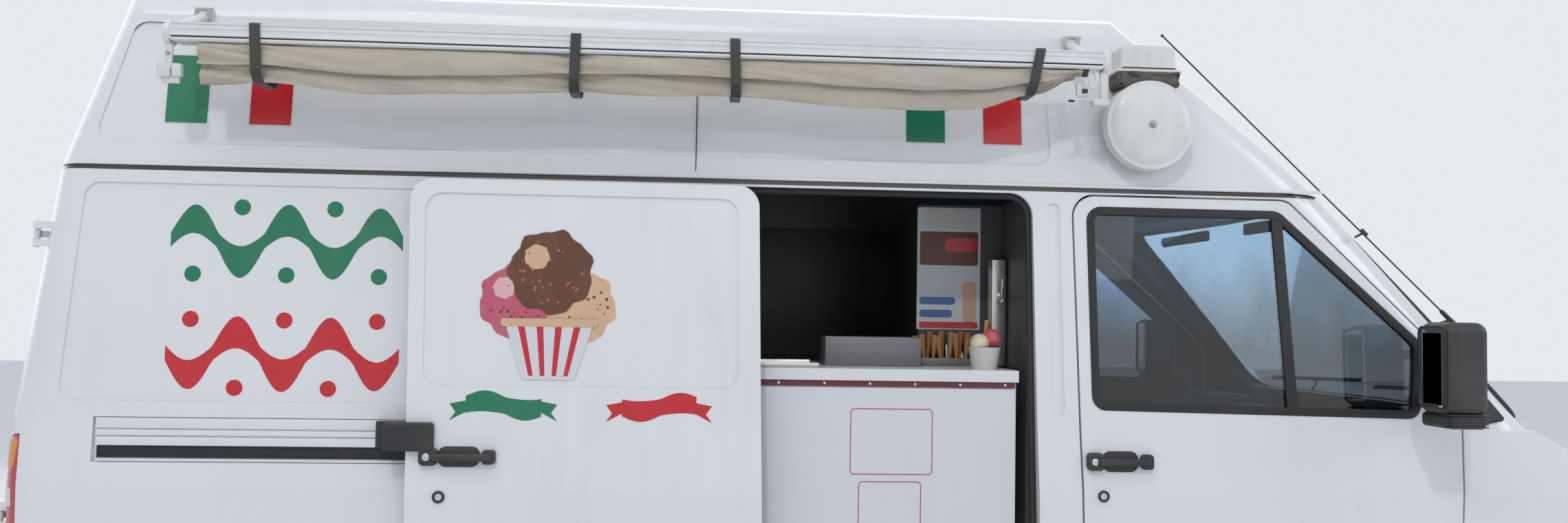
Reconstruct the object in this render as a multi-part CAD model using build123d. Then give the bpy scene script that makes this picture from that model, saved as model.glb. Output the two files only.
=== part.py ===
from build123d import *
from math import cos, radians, sin, sqrt, tan
import os

# Millimetres: X runs forward, Y to the vehicle's left, Z up from the ground
HALF_LENGTH = 2684
FRONT_AXLE_X = 1873
REAR_AXLE_X = -1697
SILL_Z = 380
BELT_Z = 1231
SEAM_Z = 1913
ROOF_Z = 2540
WALL = 45
GAP = 6
SEAT_GAP = 0.3
REAR_CORNER = 90

# Nose and tail follow the length: the tail's face, and stretches that hold the whole tail or nose
TAIL_X = 34 - HALF_LENGTH
TAIL_ZONE = (TAIL_X - 150, TAIL_X + 350)
NOSE_ZONE = (HALF_LENGTH - 384, HALF_LENGTH + 16)
WHOLE_LENGTH = (TAIL_X - 150, HALF_LENGTH + 16)
SKY_Z = ROOF_Z + 60

# Body lines: height, half width and rear face at that height
BODY_LINES = (
    (SILL_Z, 950, TAIL_X),
    (1050, 970, TAIL_X - 5),
    (BELT_Z, 958, TAIL_X),
    (SEAM_Z, 938, TAIL_X + 88),
    (SKY_Z, 865, TAIL_X + 297),
)
HALF_WIDTH, REAR_FACE = 1, 2

# Windscreen and high-roof brow: slope angles and where they start
SCREEN_FOOT_X = 1794
SCREEN_ANGLE = 46.8
BROW_Z = 1960
BROW_ANGLE = 39.5
BROW_RADIUS = 500
SCREEN_CORNER = 190
SCREEN_BOW = 105

# Nose seen from the side: bonnet line, grille face and their rounding
BONNET_TOP = (1650, 1300)
BONNET_LIP = (HALF_LENGTH - 154, 825)
GRILLE_FACE = (HALF_LENGTH - 79, 560)
NOSE_CENTRE_X = -1800
BUMPER_TOP_Z = 555

# Wheels
TYRE_RADIUS = 340
TYRE_WIDTH = 205
BEAD_RADIUS = 192
WHEEL_Y = 845
ARCH_RADIUS = TYRE_RADIUS + 60
HUB_FACE_Y = 814

# Steering axis: where it meets the ground and how far it leans inward
KINGPIN_GROUND_Y = 817
KINGPIN_LEAN = 11.1
STRUT_TOP_Z = 890

# Floor and chassis
FLOOR_Z = 560
FLOOR_REAR_X = TAIL_X + 62
FLOOR_THICK = 40
RAIL_Y = 420
RAIL_SIZE = (70, 99)
FIREWALL_X = 1435
TOW_EYE = (TAIL_X, 420, 16)
CROSS_MEMBERS = (TAIL_X + 150, -1150, -300, 500, 1180, HALF_LENGTH - 304)
OUTRIGGERS = (TAIL_X + 250, -1150, -300, 500, 1180)

# Sliding door stands open: travel back along the rail and out from the side
SLIDE_BACK = 780
SLIDE_OUT = 80

# Door outlines seen from the side (x, z)
FRONT_DOOR = ((316, 430), (267, 1890), (905, 1890), (1337, 1492), (1412, 1405), (1426, 1235), (1410, 430))
FRONT_DOOR_RADII = (60, 60, 60, 200, 60, 200, 60)
DOOR_WINDOW = ((334, 1292), (318, 1848), (874, 1848), (1300, 1476), (1288, 1276))
DOOR_WINDOW_RADII = (30, 30, 40, 40, 25)
SLIDE_DOOR = ((-774, 425), (-802, 1888), (141, 1888), (175, 425))
SLIDE_DOOR_RADII = (60, 60, 60, 60)

# Pressed panels sunk into the skin, and the sealed groove under the roof
PRESS_DEPTH = 5
ROOF_PANEL = ((TAIL_X + 195, 1975), (TAIL_X + 282, ROOF_Z - 222), (190, ROOF_Z - 222), (205, 1975))
REAR_SIDE_PANEL = ((TAIL_X + 142, 1275), (TAIL_X + 186, 1866), (-880, 1866), (-868, 1275))
LEFT_FRONT_PANEL = ((-780, 1275), (-790, 1866), (150, 1866), (170, 1275))
SLIDE_PANEL = ((-750, 1330), (-760, 1850), (85, 1850), (95, 1330))
POST_PANEL = ((206, 1260), (190, 1866), (226, 1866), (242, 1260))
REAR_DOOR_PANEL = ((100, 1275), (100, 1825), (800, 1825), (800, 1275))
PANEL_RADIUS = 45
POST_PANEL_RADIUS = 15
GROOVE_HEIGHT = 12

# Hinges: front doors and bonnet on straight axes, rear doors on an axis that follows the rear slope
FRONT_HINGE = (1430, 948)
FRONT_HINGE_Z = (640, 850)
REAR_HINGE_Y = 896
REAR_HINGE_BASE = (TAIL_X - 26, 900)
REAR_HINGE_LEAN = 0.083
REAR_HINGE_Z = (960, 1722)
BONNET_HINGE = (1738, 1233)
BONNET_EDGE_RADIUS = 3606
PIN_GAP = 0.1

# Rear doors seen from behind
REAR_DOOR_EDGE = 888
REAR_DOOR_LOW = 575
REAR_DOOR_TOP = 1886
REAR_MEETING_GAP = 12

# Awning rail along the right side
RAIL_LOW = ROOF_Z - 318

SIDE_VIEW = Plane((0, 0, 0), x_dir=(1, 0, 0), z_dir=(0, -1, 0))
FRONT_VIEW = Plane((0, 0, 0), x_dir=(0, 1, 0), z_dir=(1, 0, 0))


def body_line(z, column):
    upper = next((row for row in range(1, len(BODY_LINES)) if z <= BODY_LINES[row][0]), len(BODY_LINES) - 1)
    low, high = BODY_LINES[upper - 1], BODY_LINES[upper]
    share = (z - low[0]) / (high[0] - low[0])
    return low[column] + (high[column] - low[column]) * share


def screen_x(z):
    foot = SCREEN_FOOT_X - (min(z, BROW_Z) - BELT_Z) / tan(radians(SCREEN_ANGLE))
    return foot - max(z - BROW_Z, 0) / tan(radians(BROW_ANGLE))


def outline(points, radii):
    return make_face(FilletPolyline(*points, radius=list(radii), close=True))


def side_prism(points, radii, y_low, y_high, grow=0):
    face = outline(points, radii)
    if grow:
        face = offset(face, grow)
    return extrude(Pos(0, y_high, 0) * (SIDE_VIEW * face), y_high - y_low, dir=(0, -1, 0))


def front_prism(points, radii, x_low, x_high):
    face = Pos(x_low, 0, 0) * (FRONT_VIEW * outline(points, radii))
    return extrude(face, x_high - x_low, dir=(1, 0, 0))


def block(x, y, z, round_edges=0):
    solid = Pos((x[0] + x[1]) / 2, (y[0] + y[1]) / 2, (z[0] + z[1]) / 2)
    solid = solid * Box(x[1] - x[0], y[1] - y[0], z[1] - z[0])
    return fillet(solid.edges(), round_edges) if round_edges else solid


def rod(start, end, radius):
    axis = Vector(*end) - Vector(*start)
    return extrude(Plane(start, z_dir=axis) * Circle(radius), amount=axis.length)


def both_sides(solid):
    return solid + mirror(solid, about=Plane.XZ)


# Hinge of three knuckles: the outer two and the pin stay, the middle one moves with the leaf it carries
def hinge(foot, head, pin, barrel):
    low, high = Vector(*foot), Vector(*head)
    along = (high - low) / 3
    middle = (tuple(low + along), tuple(high - along))
    ends = rod(foot, tuple(low + along - along.normalized() * SEAT_GAP), barrel)
    ends += rod(tuple(high - along + along.normalized() * SEAT_GAP), head, barrel) + rod(foot, head, pin)
    return ends, rod(*middle, barrel) - rod(*middle, pin + PIN_GAP)


def front_hinges(outer):
    x, y = FRONT_HINGE
    fixed, moving = [], []
    for z in FRONT_HINGE_Z:
        ends, middle = hinge((x, y, z - 36), (x, y, z + 36), 5, 9)
        for low in (z - 36, z + 14):
            ends += block((x + 2, x + 50), (y - 40, y + 4), (low, low + 22)) - outer
        fixed.append(ends)
        moving.append(middle + (block((x - 50, x - 6), (y - 40, y + 4), (z - 11, z + 11)) - outer))
    return fixed, moving


def rear_hinges(outer):
    y = REAR_HINGE_Y
    fixed, moving = [], []
    for z in REAR_HINGE_Z:
        x = rear_hinge_x(z)
        foot, head = (rear_hinge_x(z - 36), y, z - 36), (rear_hinge_x(z + 36), y, z + 36)
        ends, middle = hinge(foot, head, 5, 9)
        for low in (z - 34, z + 15):
            ends += block((x - 2, x + 90), (y + 5, y + 18), (low, low + 19)) - outer
        fixed.append(ends)
        moving.append(middle + (block((x - 2, x + 90), (y - 30, y - 6), (z - 9, z + 9)) - outer))
    return fixed, moving


def rear_hinge_x(z):
    return REAR_HINGE_BASE[0] + (z - REAR_HINGE_BASE[1]) * REAR_HINGE_LEAN


def bonnet_hinge(outer):
    x, z = BONNET_HINGE
    ends, middle = hinge((x, 640, z), (x, 700, z), 4, 7)
    fixed = ends + (block((x - 20, x + 2), (642, 658), (z - 60, z + 3)) - outer)
    fixed += block((x - 20, x + 2), (682, 698), (z - 60, z + 3)) - outer
    return fixed, middle + (block((x + 5.5, x + 60), (662, 678), (z - 60, z)) - outer)


# Body envelope, drawn inward by an inset
def upper_section(z, inset):
    half = body_line(z, HALF_WIDTH) - inset
    rear = body_line(z, REAR_FACE) + inset
    nose = screen_x(z) - 1.4 * inset
    corner_x = nose - SCREEN_BOW
    corner_y = half - 35 * corner_x / 1900
    points = ((rear, -half), (rear, half), (0, half), (corner_x, corner_y))
    points += ((nose, 0), (corner_x, -corner_y), (0, -half))
    rear_radius = REAR_CORNER - inset
    corner = SCREEN_CORNER - inset
    return Pos(0, 0, z) * outline(points, (rear_radius, rear_radius, 3000, corner, 3000, corner, 3000))


def lower_section(z, inset):
    half = body_line(z, HALF_WIDTH) - inset
    rear = body_line(z, REAR_FACE) + inset
    left = ((0, half), (1700, half - 31), (HALF_LENGTH - 304, half - 100))
    left += ((HALF_LENGTH + 16 - inset, half - 420),)
    right = tuple((x, -y) for x, y in reversed(left))
    radii = (3000, 2500, 350, 250)
    rear_radius = REAR_CORNER - inset
    points = ((rear, -half), (rear, half)) + left + right
    return Pos(0, 0, z) * outline(points, (rear_radius, rear_radius) + radii + tuple(reversed(radii)))


def roof_section(inset):
    crown_radius = 3000 - inset
    top = ROOF_Z - inset
    centre_z = top - crown_radius
    edge_y = 870
    for turn in range(20):
        edge_z = centre_z + sqrt(crown_radius**2 - edge_y**2)
        edge_y = body_line(edge_z, HALF_WIDTH) + 3 - inset
    seam_y = body_line(SEAM_Z, HALF_WIDTH) + 3 - inset
    low, wide = 1100, 1200
    right = Polyline((wide, low), (wide, SEAM_Z), (seam_y, SEAM_Z), (edge_y, edge_z))
    crown = ThreePointArc((edge_y, edge_z), (0, top), (-edge_y, edge_z))
    left = Polyline((-edge_y, edge_z), (-seam_y, SEAM_Z), (-wide, SEAM_Z), (-wide, low), (wide, low))
    face = make_face([right, crown, left])
    return fillet([v for v in face.vertices() if v.Y > SEAM_Z + 100], 140 - inset)


def roof_profile(inset):
    top = ROOF_Z - inset
    rear_top = body_line(top, REAR_FACE) + inset
    rear_slope = (body_line(SKY_Z, REAR_FACE) - body_line(SEAM_Z, REAR_FACE)) / (SKY_Z - SEAM_Z)
    foot = rear_top - (top - 1500) * rear_slope
    brow_x = screen_x(top) - 1.4 * inset + 4
    far_x = HALF_LENGTH + 316
    front_z = top - (far_x - brow_x) * tan(radians(BROW_ANGLE))
    points = ((foot, 100), (foot, 1500), (rear_top, top), (brow_x, top), (far_x, front_z), (far_x, 100))
    return side_prism(points, (5, 5, 110 - inset, BROW_RADIUS - inset, 5, 5), -1200, 1200)


def envelope(inset):
    upper = loft([upper_section(z, inset) for z in (BELT_Z, SEAM_Z, SEAM_Z + 127, SKY_Z)], ruled=True)
    tail, nose_end = WHOLE_LENGTH
    roof_face = Pos(tail, 0, 0) * (FRONT_VIEW * roof_section(inset))
    upper = upper & extrude(roof_face, nose_end - tail, dir=(1, 0, 0))
    upper = upper & roof_profile(inset)
    lower = loft([lower_section(z, inset) for z in (SILL_Z, 1050, BELT_Z)], ruled=True)
    points = ((-200, 200), (-200, 1300), BONNET_TOP, BONNET_LIP, GRILLE_FACE, (HALF_LENGTH - 94, 200))
    profile = outline(points, (5, 5, 5, 70, 60, 5))
    if inset:
        profile = offset(profile, -inset, kind=Kind.INTERSECTION)
    axis = Axis((NOSE_CENTRE_X, 0, 0), (0, 0, 1))
    nose = revolve((SIDE_VIEW * profile).rotate(axis, -40), axis, 80)
    return upper + (lower & (nose + block((tail, 0), (-1200, 1200), (200, 1800))))


def tyre_solid():
    half = TYRE_WIDTH / 2
    bead, tread = BEAD_RADIUS, TYRE_RADIUS
    flange = 79 - SEAT_GAP
    right = (
        Polyline((0, bead), (flange, bead), (flange, bead + 15)),
        ThreePointArc((flange, bead + 15), (half, 275), (85, tread - 8)),
        Polyline((85, tread - 8), (70, tread), (0, tread)),
    )
    edges = Wire([edge for line in right for edge in line.edges()])
    face = make_face([edges, mirror(edges, about=Plane.YZ)])
    return revolve(FRONT_VIEW * face, Axis((0, 0, 0), (0, 1, 0)))


def rim_solid():
    bead = BEAD_RADIUS - SEAT_GAP
    # Barrel, disc and hub: distance outboard of the wheel's middle, radius
    points = ((-90, 177), (-90, 205), (-79, 205), (-79, bead), (79, bead), (79, 205), (90, 205), (90, 177))
    points += ((50, 170), (42, 120), (52, 70), (38, 36), (38, 0), (HUB_FACE_Y - WHEEL_Y, 0))
    points += ((HUB_FACE_Y - WHEEL_Y, 140), (-9, 140), (-9, 60), (22, 60), (22, 120), (32, 166))
    ring = revolve(FRONT_VIEW * make_face(Polyline(*points, close=True)), Axis((0, 0, 0), (0, 1, 0)))
    window = Rot(90, 0, 0) * Cylinder(17, 80)
    for turn in range(10):
        angle = radians(36 * turn)
        ring -= Pos(142 * cos(angle), 45, 142 * sin(angle)) * window
    return ring


def wheel(name, x, side):
    nodes = {f"tyre_{name}": tyre_solid(), f"rim_{name}": rim_solid()}
    for node, solid in nodes.items():
        if side < 0:
            solid = mirror(solid, about=Plane.XZ)
        nodes[node] = Pos(x, side * WHEEL_Y, TYRE_RADIUS) * solid
    return nodes


def kingpin_point(z):
    return (FRONT_AXLE_X, KINGPIN_GROUND_Y - z * tan(radians(KINGPIN_LEAN)), z)


def knuckle_left():
    strut = rod(kingpin_point(215), kingpin_point(STRUT_TOP_Z), 24)
    spring = rod(kingpin_point(700), kingpin_point(860), 55)
    spindle = rod((FRONT_AXLE_X, 745, TYRE_RADIUS), (FRONT_AXLE_X, HUB_FACE_Y - SEAT_GAP, TYRE_RADIUS), 45)
    caliper = block((FRONT_AXLE_X - 130, FRONT_AXLE_X - 60), (745, HUB_FACE_Y - 6), (290, 390))
    arm = block((FRONT_AXLE_X - 130, FRONT_AXLE_X), (745, 790), (310, 370))
    return strut + spring + spindle + caliper + arm


def front_suspension():
    tower_y = (RAIL_Y + RAIL_SIZE[0] / 2 + SEAT_GAP, 470)
    beam = block((FRONT_AXLE_X - 90, FRONT_AXLE_X + 90), (-tower_y[1], tower_y[1]), (270, 419.7))
    beam -= block((FRONT_AXLE_X - 100, FRONT_AXLE_X + 100), (-300, 300), (360, 430))
    ball = kingpin_point(215)
    below = kingpin_point(180)
    joint = rod(below, kingpin_point(215 - SEAT_GAP), 26)
    points = ((-140, 400), (140, 400), (26, ball[1]), (-26, ball[1]))
    arm = extrude(make_face(Polyline(*points, close=True)), 26, dir=(0, 0, 1))
    arm = Pos(FRONT_AXLE_X, 0, 184) * arm
    bushes = rod((FRONT_AXLE_X - 150, 400, 200), (FRONT_AXLE_X + 150, 400, 200), 28)
    hangers = block((FRONT_AXLE_X - 80, FRONT_AXLE_X + 80), (380, 425), (190, 280))
    tower = block((FRONT_AXLE_X - 110, FRONT_AXLE_X + 110), tower_y, (300, 935))
    cup = block((FRONT_AXLE_X - 110, FRONT_AXLE_X + 110), (tower_y[0], 730), (905, 935))
    cup += rod(kingpin_point(STRUT_TOP_Z + SEAT_GAP), kingpin_point(920), 30)
    side = joint + arm + bushes + hangers + tower + cup
    rack = rod((FRONT_AXLE_X - 140, -550, 310), (FRONT_AXLE_X - 140, 550, 310), 26)
    stays = block((FRONT_AXLE_X - 150, FRONT_AXLE_X - 80), (-250, 250), (290, 330))
    return beam + both_sides(side) + rack + stays


def rear_axle():
    x = REAR_AXLE_X
    end = HUB_FACE_Y - SEAT_GAP
    tube = rod((x, -end, TYRE_RADIUS), (x, end, TYRE_RADIUS), 42)
    casing = Pos(x, 0, TYRE_RADIUS) * Sphere(135)
    shaft = rod((x, 0, TYRE_RADIUS), (1014.4, 0, 395), 34) - Pos(x, 0, TYRE_RADIUS) * Sphere(135 + SEAT_GAP)
    # Leaf spring: eye and middle points in side view
    leaf = ((-660, 395), (-500, 320), (0, 275), (480, 320), (640, 395))
    leaf += ((640, 415), (480, 342), (0, 297), (-500, 342), (-660, 415))
    spring = side_prism(tuple((x + along, z) for along, z in leaf), (8,) * len(leaf), 545, 610)
    shackle = block((x - 672, x - 640), (385, 610), (395, 419.7))
    hanger = block((x + 612, x + 652), (385, 610), (395, 419.7))
    seat = block((x - 50, x + 50), (540, 615), (280, 320))
    seat -= rod((x, 500, TYRE_RADIUS), (x, 700, TYRE_RADIUS), 42 + SEAT_GAP)
    spring_set = spring + shackle + hanger + seat
    return [tube + casing, shaft, spring_set, mirror(spring_set, about=Plane.XZ)]


def chassis_rails():
    width, height = RAIL_SIZE
    top = FLOOR_Z - FLOOR_THICK - SEAT_GAP
    inside, outside = RAIL_Y - width / 2, RAIL_Y + width / 2
    rail = block((TAIL_X + 90, HALF_LENGTH - 244), (inside, outside), (top - height, top))
    tow_plate = block((TAIL_X - 30, TAIL_X + 210), (inside, outside), (352, 372))
    tow_plate += block((TAIL_X + 60, TAIL_X + 210), (RAIL_Y - 8, RAIL_Y + 8), (352, top - height + 5))
    tow_x, tow_y, tow_radius = TOW_EYE
    tow_plate -= rod((tow_x, tow_y, 340), (tow_x, tow_y, 380), tow_radius)
    members = [rail + tow_plate, mirror(rail, about=Plane.XZ)]
    for x in CROSS_MEMBERS:
        members.append(block((x - 30, x + 30), (SEAT_GAP - inside, inside - SEAT_GAP), (top - 70, top)))
    for x in OUTRIGGERS:
        arm = block((x - 25, x + 25), (outside + SEAT_GAP, 819.7), (top - 60, top))
        members += [arm, mirror(arm, about=Plane.XZ)]
    return members


def floor_pan(inner):
    low = FLOOR_Z - FLOOR_THICK
    end_x = FIREWALL_X - 3.3
    floor_top = FLOOR_Z + SEAT_GAP
    well = rod((REAR_AXLE_X, 660, TYRE_RADIUS), (REAR_AXLE_X, 1000, TYRE_RADIUS), ARCH_RADIUS)
    slab = block((FLOOR_REAR_X, 900), (-885, 885), (low, FLOOR_Z))
    slab += block((0, FIREWALL_X), (-868, 868), (low, FLOOR_Z))
    slab -= both_sides(well)
    rocker = block((FLOOR_REAR_X, end_x), (820, 865), (385, low - SEAT_GAP))
    flange = inner & block((FLOOR_REAR_X, end_x), (830, 1000), (385, 417))
    rockers = both_sides(rocker + flange - well)
    firewall = block((FIREWALL_X + SEAT_GAP, FIREWALL_X + 30), (-870, 870), (low, 1099.7))
    arch_x = (REAR_AXLE_X - 425, REAR_AXLE_X + 425)
    arches = both_sides(block(arch_x, (640, 905), (floor_top, 765)) - well)
    bases = [block((400, 860), y, (floor_top, 799.7)) for y in ((190, 640), (-820, 60))]
    return [slab, firewall] + list(rockers.solids()) + list(arches.solids()) + bases


def wheel_liners(inner):
    x, z = FRONT_AXLE_X, TYRE_RADIUS
    shell = rod((x, 500, z), (x, 1000, z), ARCH_RADIUS + 7) - rod((x, 506, z), (x, 1100, z), ARCH_RADIUS)
    shell = (inner & block((x - 500, x + 500), (500, 1000), (470, 900))) & shell
    shell -= rod(kingpin_point(500), kingpin_point(980), 80)
    shell -= block((FRONT_AXLE_X - 130, FRONT_AXLE_X + 130), (490, 560), (400, 900))
    return both_sides(shell)


def front_doors(skin, glass):
    door = skin(side_prism(FRONT_DOOR, FRONT_DOOR_RADII, 600, 1100))
    window = side_prism(DOOR_WINDOW, DOOR_WINDOW_RADII, 600, 1100)
    pane = glass(side_prism(DOOR_WINDOW, DOOR_WINDOW_RADII, 600, 1100, -SEAT_GAP))
    door -= window
    return {
        "front_door_left": door,
        "front_door_right": mirror(door, about=Plane.XZ),
        "door_glass_left": pane,
        "door_glass_right": mirror(pane, about=Plane.XZ),
    }


def door_mirror(outer):
    head = block((1225, 1350), (1040, 1185), (1290, 1545), 30)
    foot = block((1235, 1340), (1040, 1180), (1255, 1295), 12)
    arms = block((1292, 1330), (900, 1050), (1300, 1330)) + block((1314, 1344), (900, 1050), (1440, 1465))
    arms -= outer
    return head + foot + arms


def rear_doorway(grow):
    low, top, edge = REAR_DOOR_LOW - grow, REAR_DOOR_TOP + grow, REAR_DOOR_EDGE + grow
    points = ((-edge, low), (-edge, top), (edge, top), (edge, low))
    return front_prism(points, (40 + grow,) * 4, *TAIL_ZONE)


def rear_door_left(skin, press):
    door = skin(rear_doorway(0)) & block(TAIL_ZONE, (REAR_MEETING_GAP / 2, 1000), (500, 2000))
    return door - press(front_prism(REAR_DOOR_PANEL, (PANEL_RADIUS,) * 4, *TAIL_ZONE))


def nose_cylinder(radius):
    return Pos(NOSE_CENTRE_X, 0, 1000) * Cylinder(radius, 1000)


def nose_panels(skin):
    low = BUMPER_TOP_Z + 4
    nose_end = NOSE_ZONE[1]
    lamp_zone = (HALF_LENGTH - 484, nose_end)
    nose = skin(block((FIREWALL_X - 3, nose_end), (-1100, 1100), (SILL_Z - 10, BELT_Z)))
    half = 735
    lid_z = 835
    bonnet = nose & block((FIREWALL_X, nose_end), (-half, half), (lid_z, BELT_Z))
    bonnet -= nose_cylinder(BONNET_EDGE_RADIUS)
    front = nose & block(NOSE_ZONE, (-1100, 1100), (low, lid_z - GAP))
    lamp_box = block(lamp_zone, (560, 1000), (640, 800))
    lamps = both_sides(front & block(lamp_zone, (560 + SEAT_GAP, 1000), (640 + SEAT_GAP, 800 - SEAT_GAP)))
    front -= both_sides(lamp_box)
    for row in range(5):
        z = 640 + 36 * row
        front -= block(lamp_zone, (-480, 480), (z, z + 20))
    side = nose & block((FIREWALL_X - 3, nose_end), (half + GAP, 1100), (SILL_Z - 10, BELT_Z))
    side -= block(NOSE_ZONE, (0, 1100), (0, lid_z - GAP))
    side -= rod((FRONT_AXLE_X, 0, TYRE_RADIUS), (FRONT_AXLE_X, 1200, TYRE_RADIUS), ARCH_RADIUS)
    side -= block((FRONT_AXLE_X, NOSE_ZONE[0]), (0, 1100), (0, low))
    return {"bonnet": bonnet, "front_panel": front, "headlamps": lamps, "fenders": both_sides(side)}


def bumper_section(front_x, half, depth):
    points = ((front_x - 420, half - 35), (front_x - 110, half - 90), (front_x, 380))
    points += tuple((x, -y) for x, y in reversed(points))
    outer = outline(points, (5, 160, 300, 300, 160, 5))
    inner = Pos(-depth, 0) * offset(outer, -depth * 0.4)
    return outer - inner


def front_bumper():
    skin = extrude(Pos(0, 0, 300) * bumper_section(HALF_LENGTH, 945, 80), BUMPER_TOP_Z - 300, dir=(0, 0, 1))
    beam = block((HALF_LENGTH - 244 + SEAT_GAP, HALF_LENGTH - 124), (-455, 455), (420, 500))
    return skin + beam


def rear_bumper(outer):
    return block((-HALF_LENGTH, TAIL_X + 50), (-880, 880), (400, 550)) - outer


def tail_lamps(skin):
    corner = block((TAIL_X - 50, TAIL_X + 50), (REAR_DOOR_EDGE + GAP + 4, 1000), (900, 1180))
    return both_sides(skin(corner))


def sliding_door(skin, press):
    door = skin(side_prism(SLIDE_DOOR, SLIDE_DOOR_RADII, -1100, -600))
    door = door - press(side_pressing(SLIDE_PANEL, -1))
    return Pos(-SLIDE_BACK, -SLIDE_OUT, 0) * door


def slide_carriage():
    inner_face = -(body_line(1200, HALF_WIDTH) - WALL + SLIDE_OUT)
    hanger = block((-1660, -1500), (inner_face + 4, -948.3), (1160, 1230))
    tab = block((-1628, -1592), (-1050, -948.3), (1160, 1230))
    link = block((-1628, -1500), (inner_face + 4, -980), (1160, 1230))
    lower = block((-730, -610), (-1010, -951.5), (396, 424.7))
    return [hanger + tab + link, lower]


def cab_inside():
    points = ((1600, 1110), (1600, 1185), (1300, 1236), (1130, 1205), (1105, 1050), (1220, 850))
    points += ((1434.7, 800), (1434.7, 1110))
    dash = side_prism(points, (8, 20, 60, 40, 60, 60, 8, 8), -860, 860)
    hub = Vector(1020, 400, 1160)
    lean = radians(32)
    along = Vector(cos(lean), 0, -sin(lean))
    column = rod(tuple(hub + along * 60.3), tuple(hub + along * 250), 36)
    ring = Torus(195, 15) + Cylinder(60, 40)
    for turn in (0, 120, 240):
        ring += Rot(0, 0, turn + 30) * Pos(100, 0, 0) * Box(190, 34, 12)
    post = Pos(0, 0, -30) * Cylinder(22, 60)
    steering = Plane(tuple(hub), z_dir=along * -1) * (ring + post)
    return {"dashboard": dash + column, "steering_wheel": steering}


def seat(y_low, y_high):
    cushion = block((430, 900), (y_low, y_high), (800, 940), 40)
    middle = (y_low + y_high) / 2
    back = Pos(440, middle, 890) * Rot(0, -12, 0) * Pos(0, 0, 300) * Box(110, y_high - y_low - 20, 640)
    back = fillet(back.edges(), 35)
    rest = Pos(440, middle, 890) * Rot(0, -12, 0) * Pos(0, 0, 690) * Box(80, 240, 150)
    return cushion + back + fillet(rest.edges(), 30)


def serving_counter():
    x = (-740, 113)
    top = block(x, (-935, -500), (1354, 1387))
    front = block((x[0] + 6, x[1] - 6), (-925, -905), (FLOOR_Z + SEAT_GAP, 1354))
    ends = [block((at, at + 20), (-905, -520), (FLOOR_Z + SEAT_GAP, 1354)) for at in (x[0] + 6, x[1] - 26)]
    shelf = block((x[0] + 6, x[1] - 6), (-905, -520), (900, 920))
    return top + front + ends[0] + ends[1] + shelf


def bulkhead():
    wall = block((150, 175), (-880, 880), (FLOOR_Z + SEAT_GAP, 1890))
    wall -= block((140, 190), (-150, 420), (FLOOR_Z - 10, 1800))
    cupboard = block((-110, 150), (-560, -180), (1450, 1890))
    return wall + cupboard


def freezer():
    box = block((-1260, -180), (320, 880), (FLOOR_Z + SEAT_GAP, 1330), 12)
    lids = block((-1250, -735), (330, 870), (1330, 1365)) + block((-715, -190), (330, 870), (1330, 1365))
    return box + lids


def awning_rail(outer):
    high = RAIL_LOW + 50
    middle = RAIL_LOW + 24
    corners = ((-2190, RAIL_LOW), (-2190, high), (300, high), (300, RAIL_LOW))
    rail = side_prism(corners, (12,) * 4, -1110, -1050)
    caps = rod((-2204, -1080, middle), (-2190, -1080, middle), 34)
    caps += rod((300, -1080, middle), (314, -1080, middle), 34)
    arms = None
    for x in (-2185, 266):
        arm = rod((x, -1070, high - 10), (x, -800, high + 100), 15) - outer
        arm += block((x - 24, x + 24), (-908, -800), (high + 38, high + 84)) - outer
        arms = arm if arms is None else arms + arm
    return rail + caps + arms


def awning_cloth(outer):
    top = RAIL_LOW - SEAT_GAP
    points = (
        (-880, top - 22), (-880, top), (-1108, top),
        (-1108, top - 32), (-1050, top - 110), (-960, top - 110))
    return front_prism(points, (3, 3, 3, 15, 30, 30), -2120, 240) - outer


def bell(outer):
    x, z = 474, 2092
    plate = Pos(x, 0, z) * Rot(90, 0, 0) * Cylinder(127, 12)
    plate = Pos(0, -985, 0) * plate
    boss = rod((x, -1000, z), (x, -880, z), 22)
    cup = rod((x, -979, z), (x, -950, z), 95)
    box = block((394, 557), (-965, -840), (2253, 2323), 10)
    strap = block((x - 20, x + 20), (-935, -880), (z, 2260))
    return plate + cup + ((boss + box + strap) - outer)


def engine():
    motor = block((1500, 2150), (-270, 270), (360, 900), 30)
    gearbox = block((1050, 1520), (-160, 160), (330, 449.4), 20)
    tail = rod((1015.3, 0, 395), (1060, 0, 395), 45)
    return motor + gearbox + tail


def exhaust():
    y = 270
    route = ((1480, y, 330), (-880, y, 345), (-1000, 400, 345), (-1000, 925, 330))
    pipe = None
    for start, end in zip(route, route[1:]):
        piece = rod(start, end, 27) + Pos(*start) * Sphere(27)
        pipe = piece if pipe is None else pipe + piece
    silencer = rod((-650, y, 343), (-80, y, 339), 85)
    hangers = block((-310, -290), (y - 10, y + 10), (380, 449.4))
    hangers += block((1170, 1190), (y - 10, y + 10), (340, 449.4))
    return pipe + silencer + hangers


def windscreen(glass):
    points = ((-845, 1262), (-745, 1905), (745, 1905), (845, 1262))
    hole = front_prism(points, (60, 60, 60, 60), 900, 2000)
    face = offset(outline(points, (60, 60, 60, 60)), -SEAT_GAP)
    pane = glass(extrude(Pos(900, 0, 0) * (FRONT_VIEW * face), 1100, dir=(1, 0, 0)))
    return hole, pane


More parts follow.
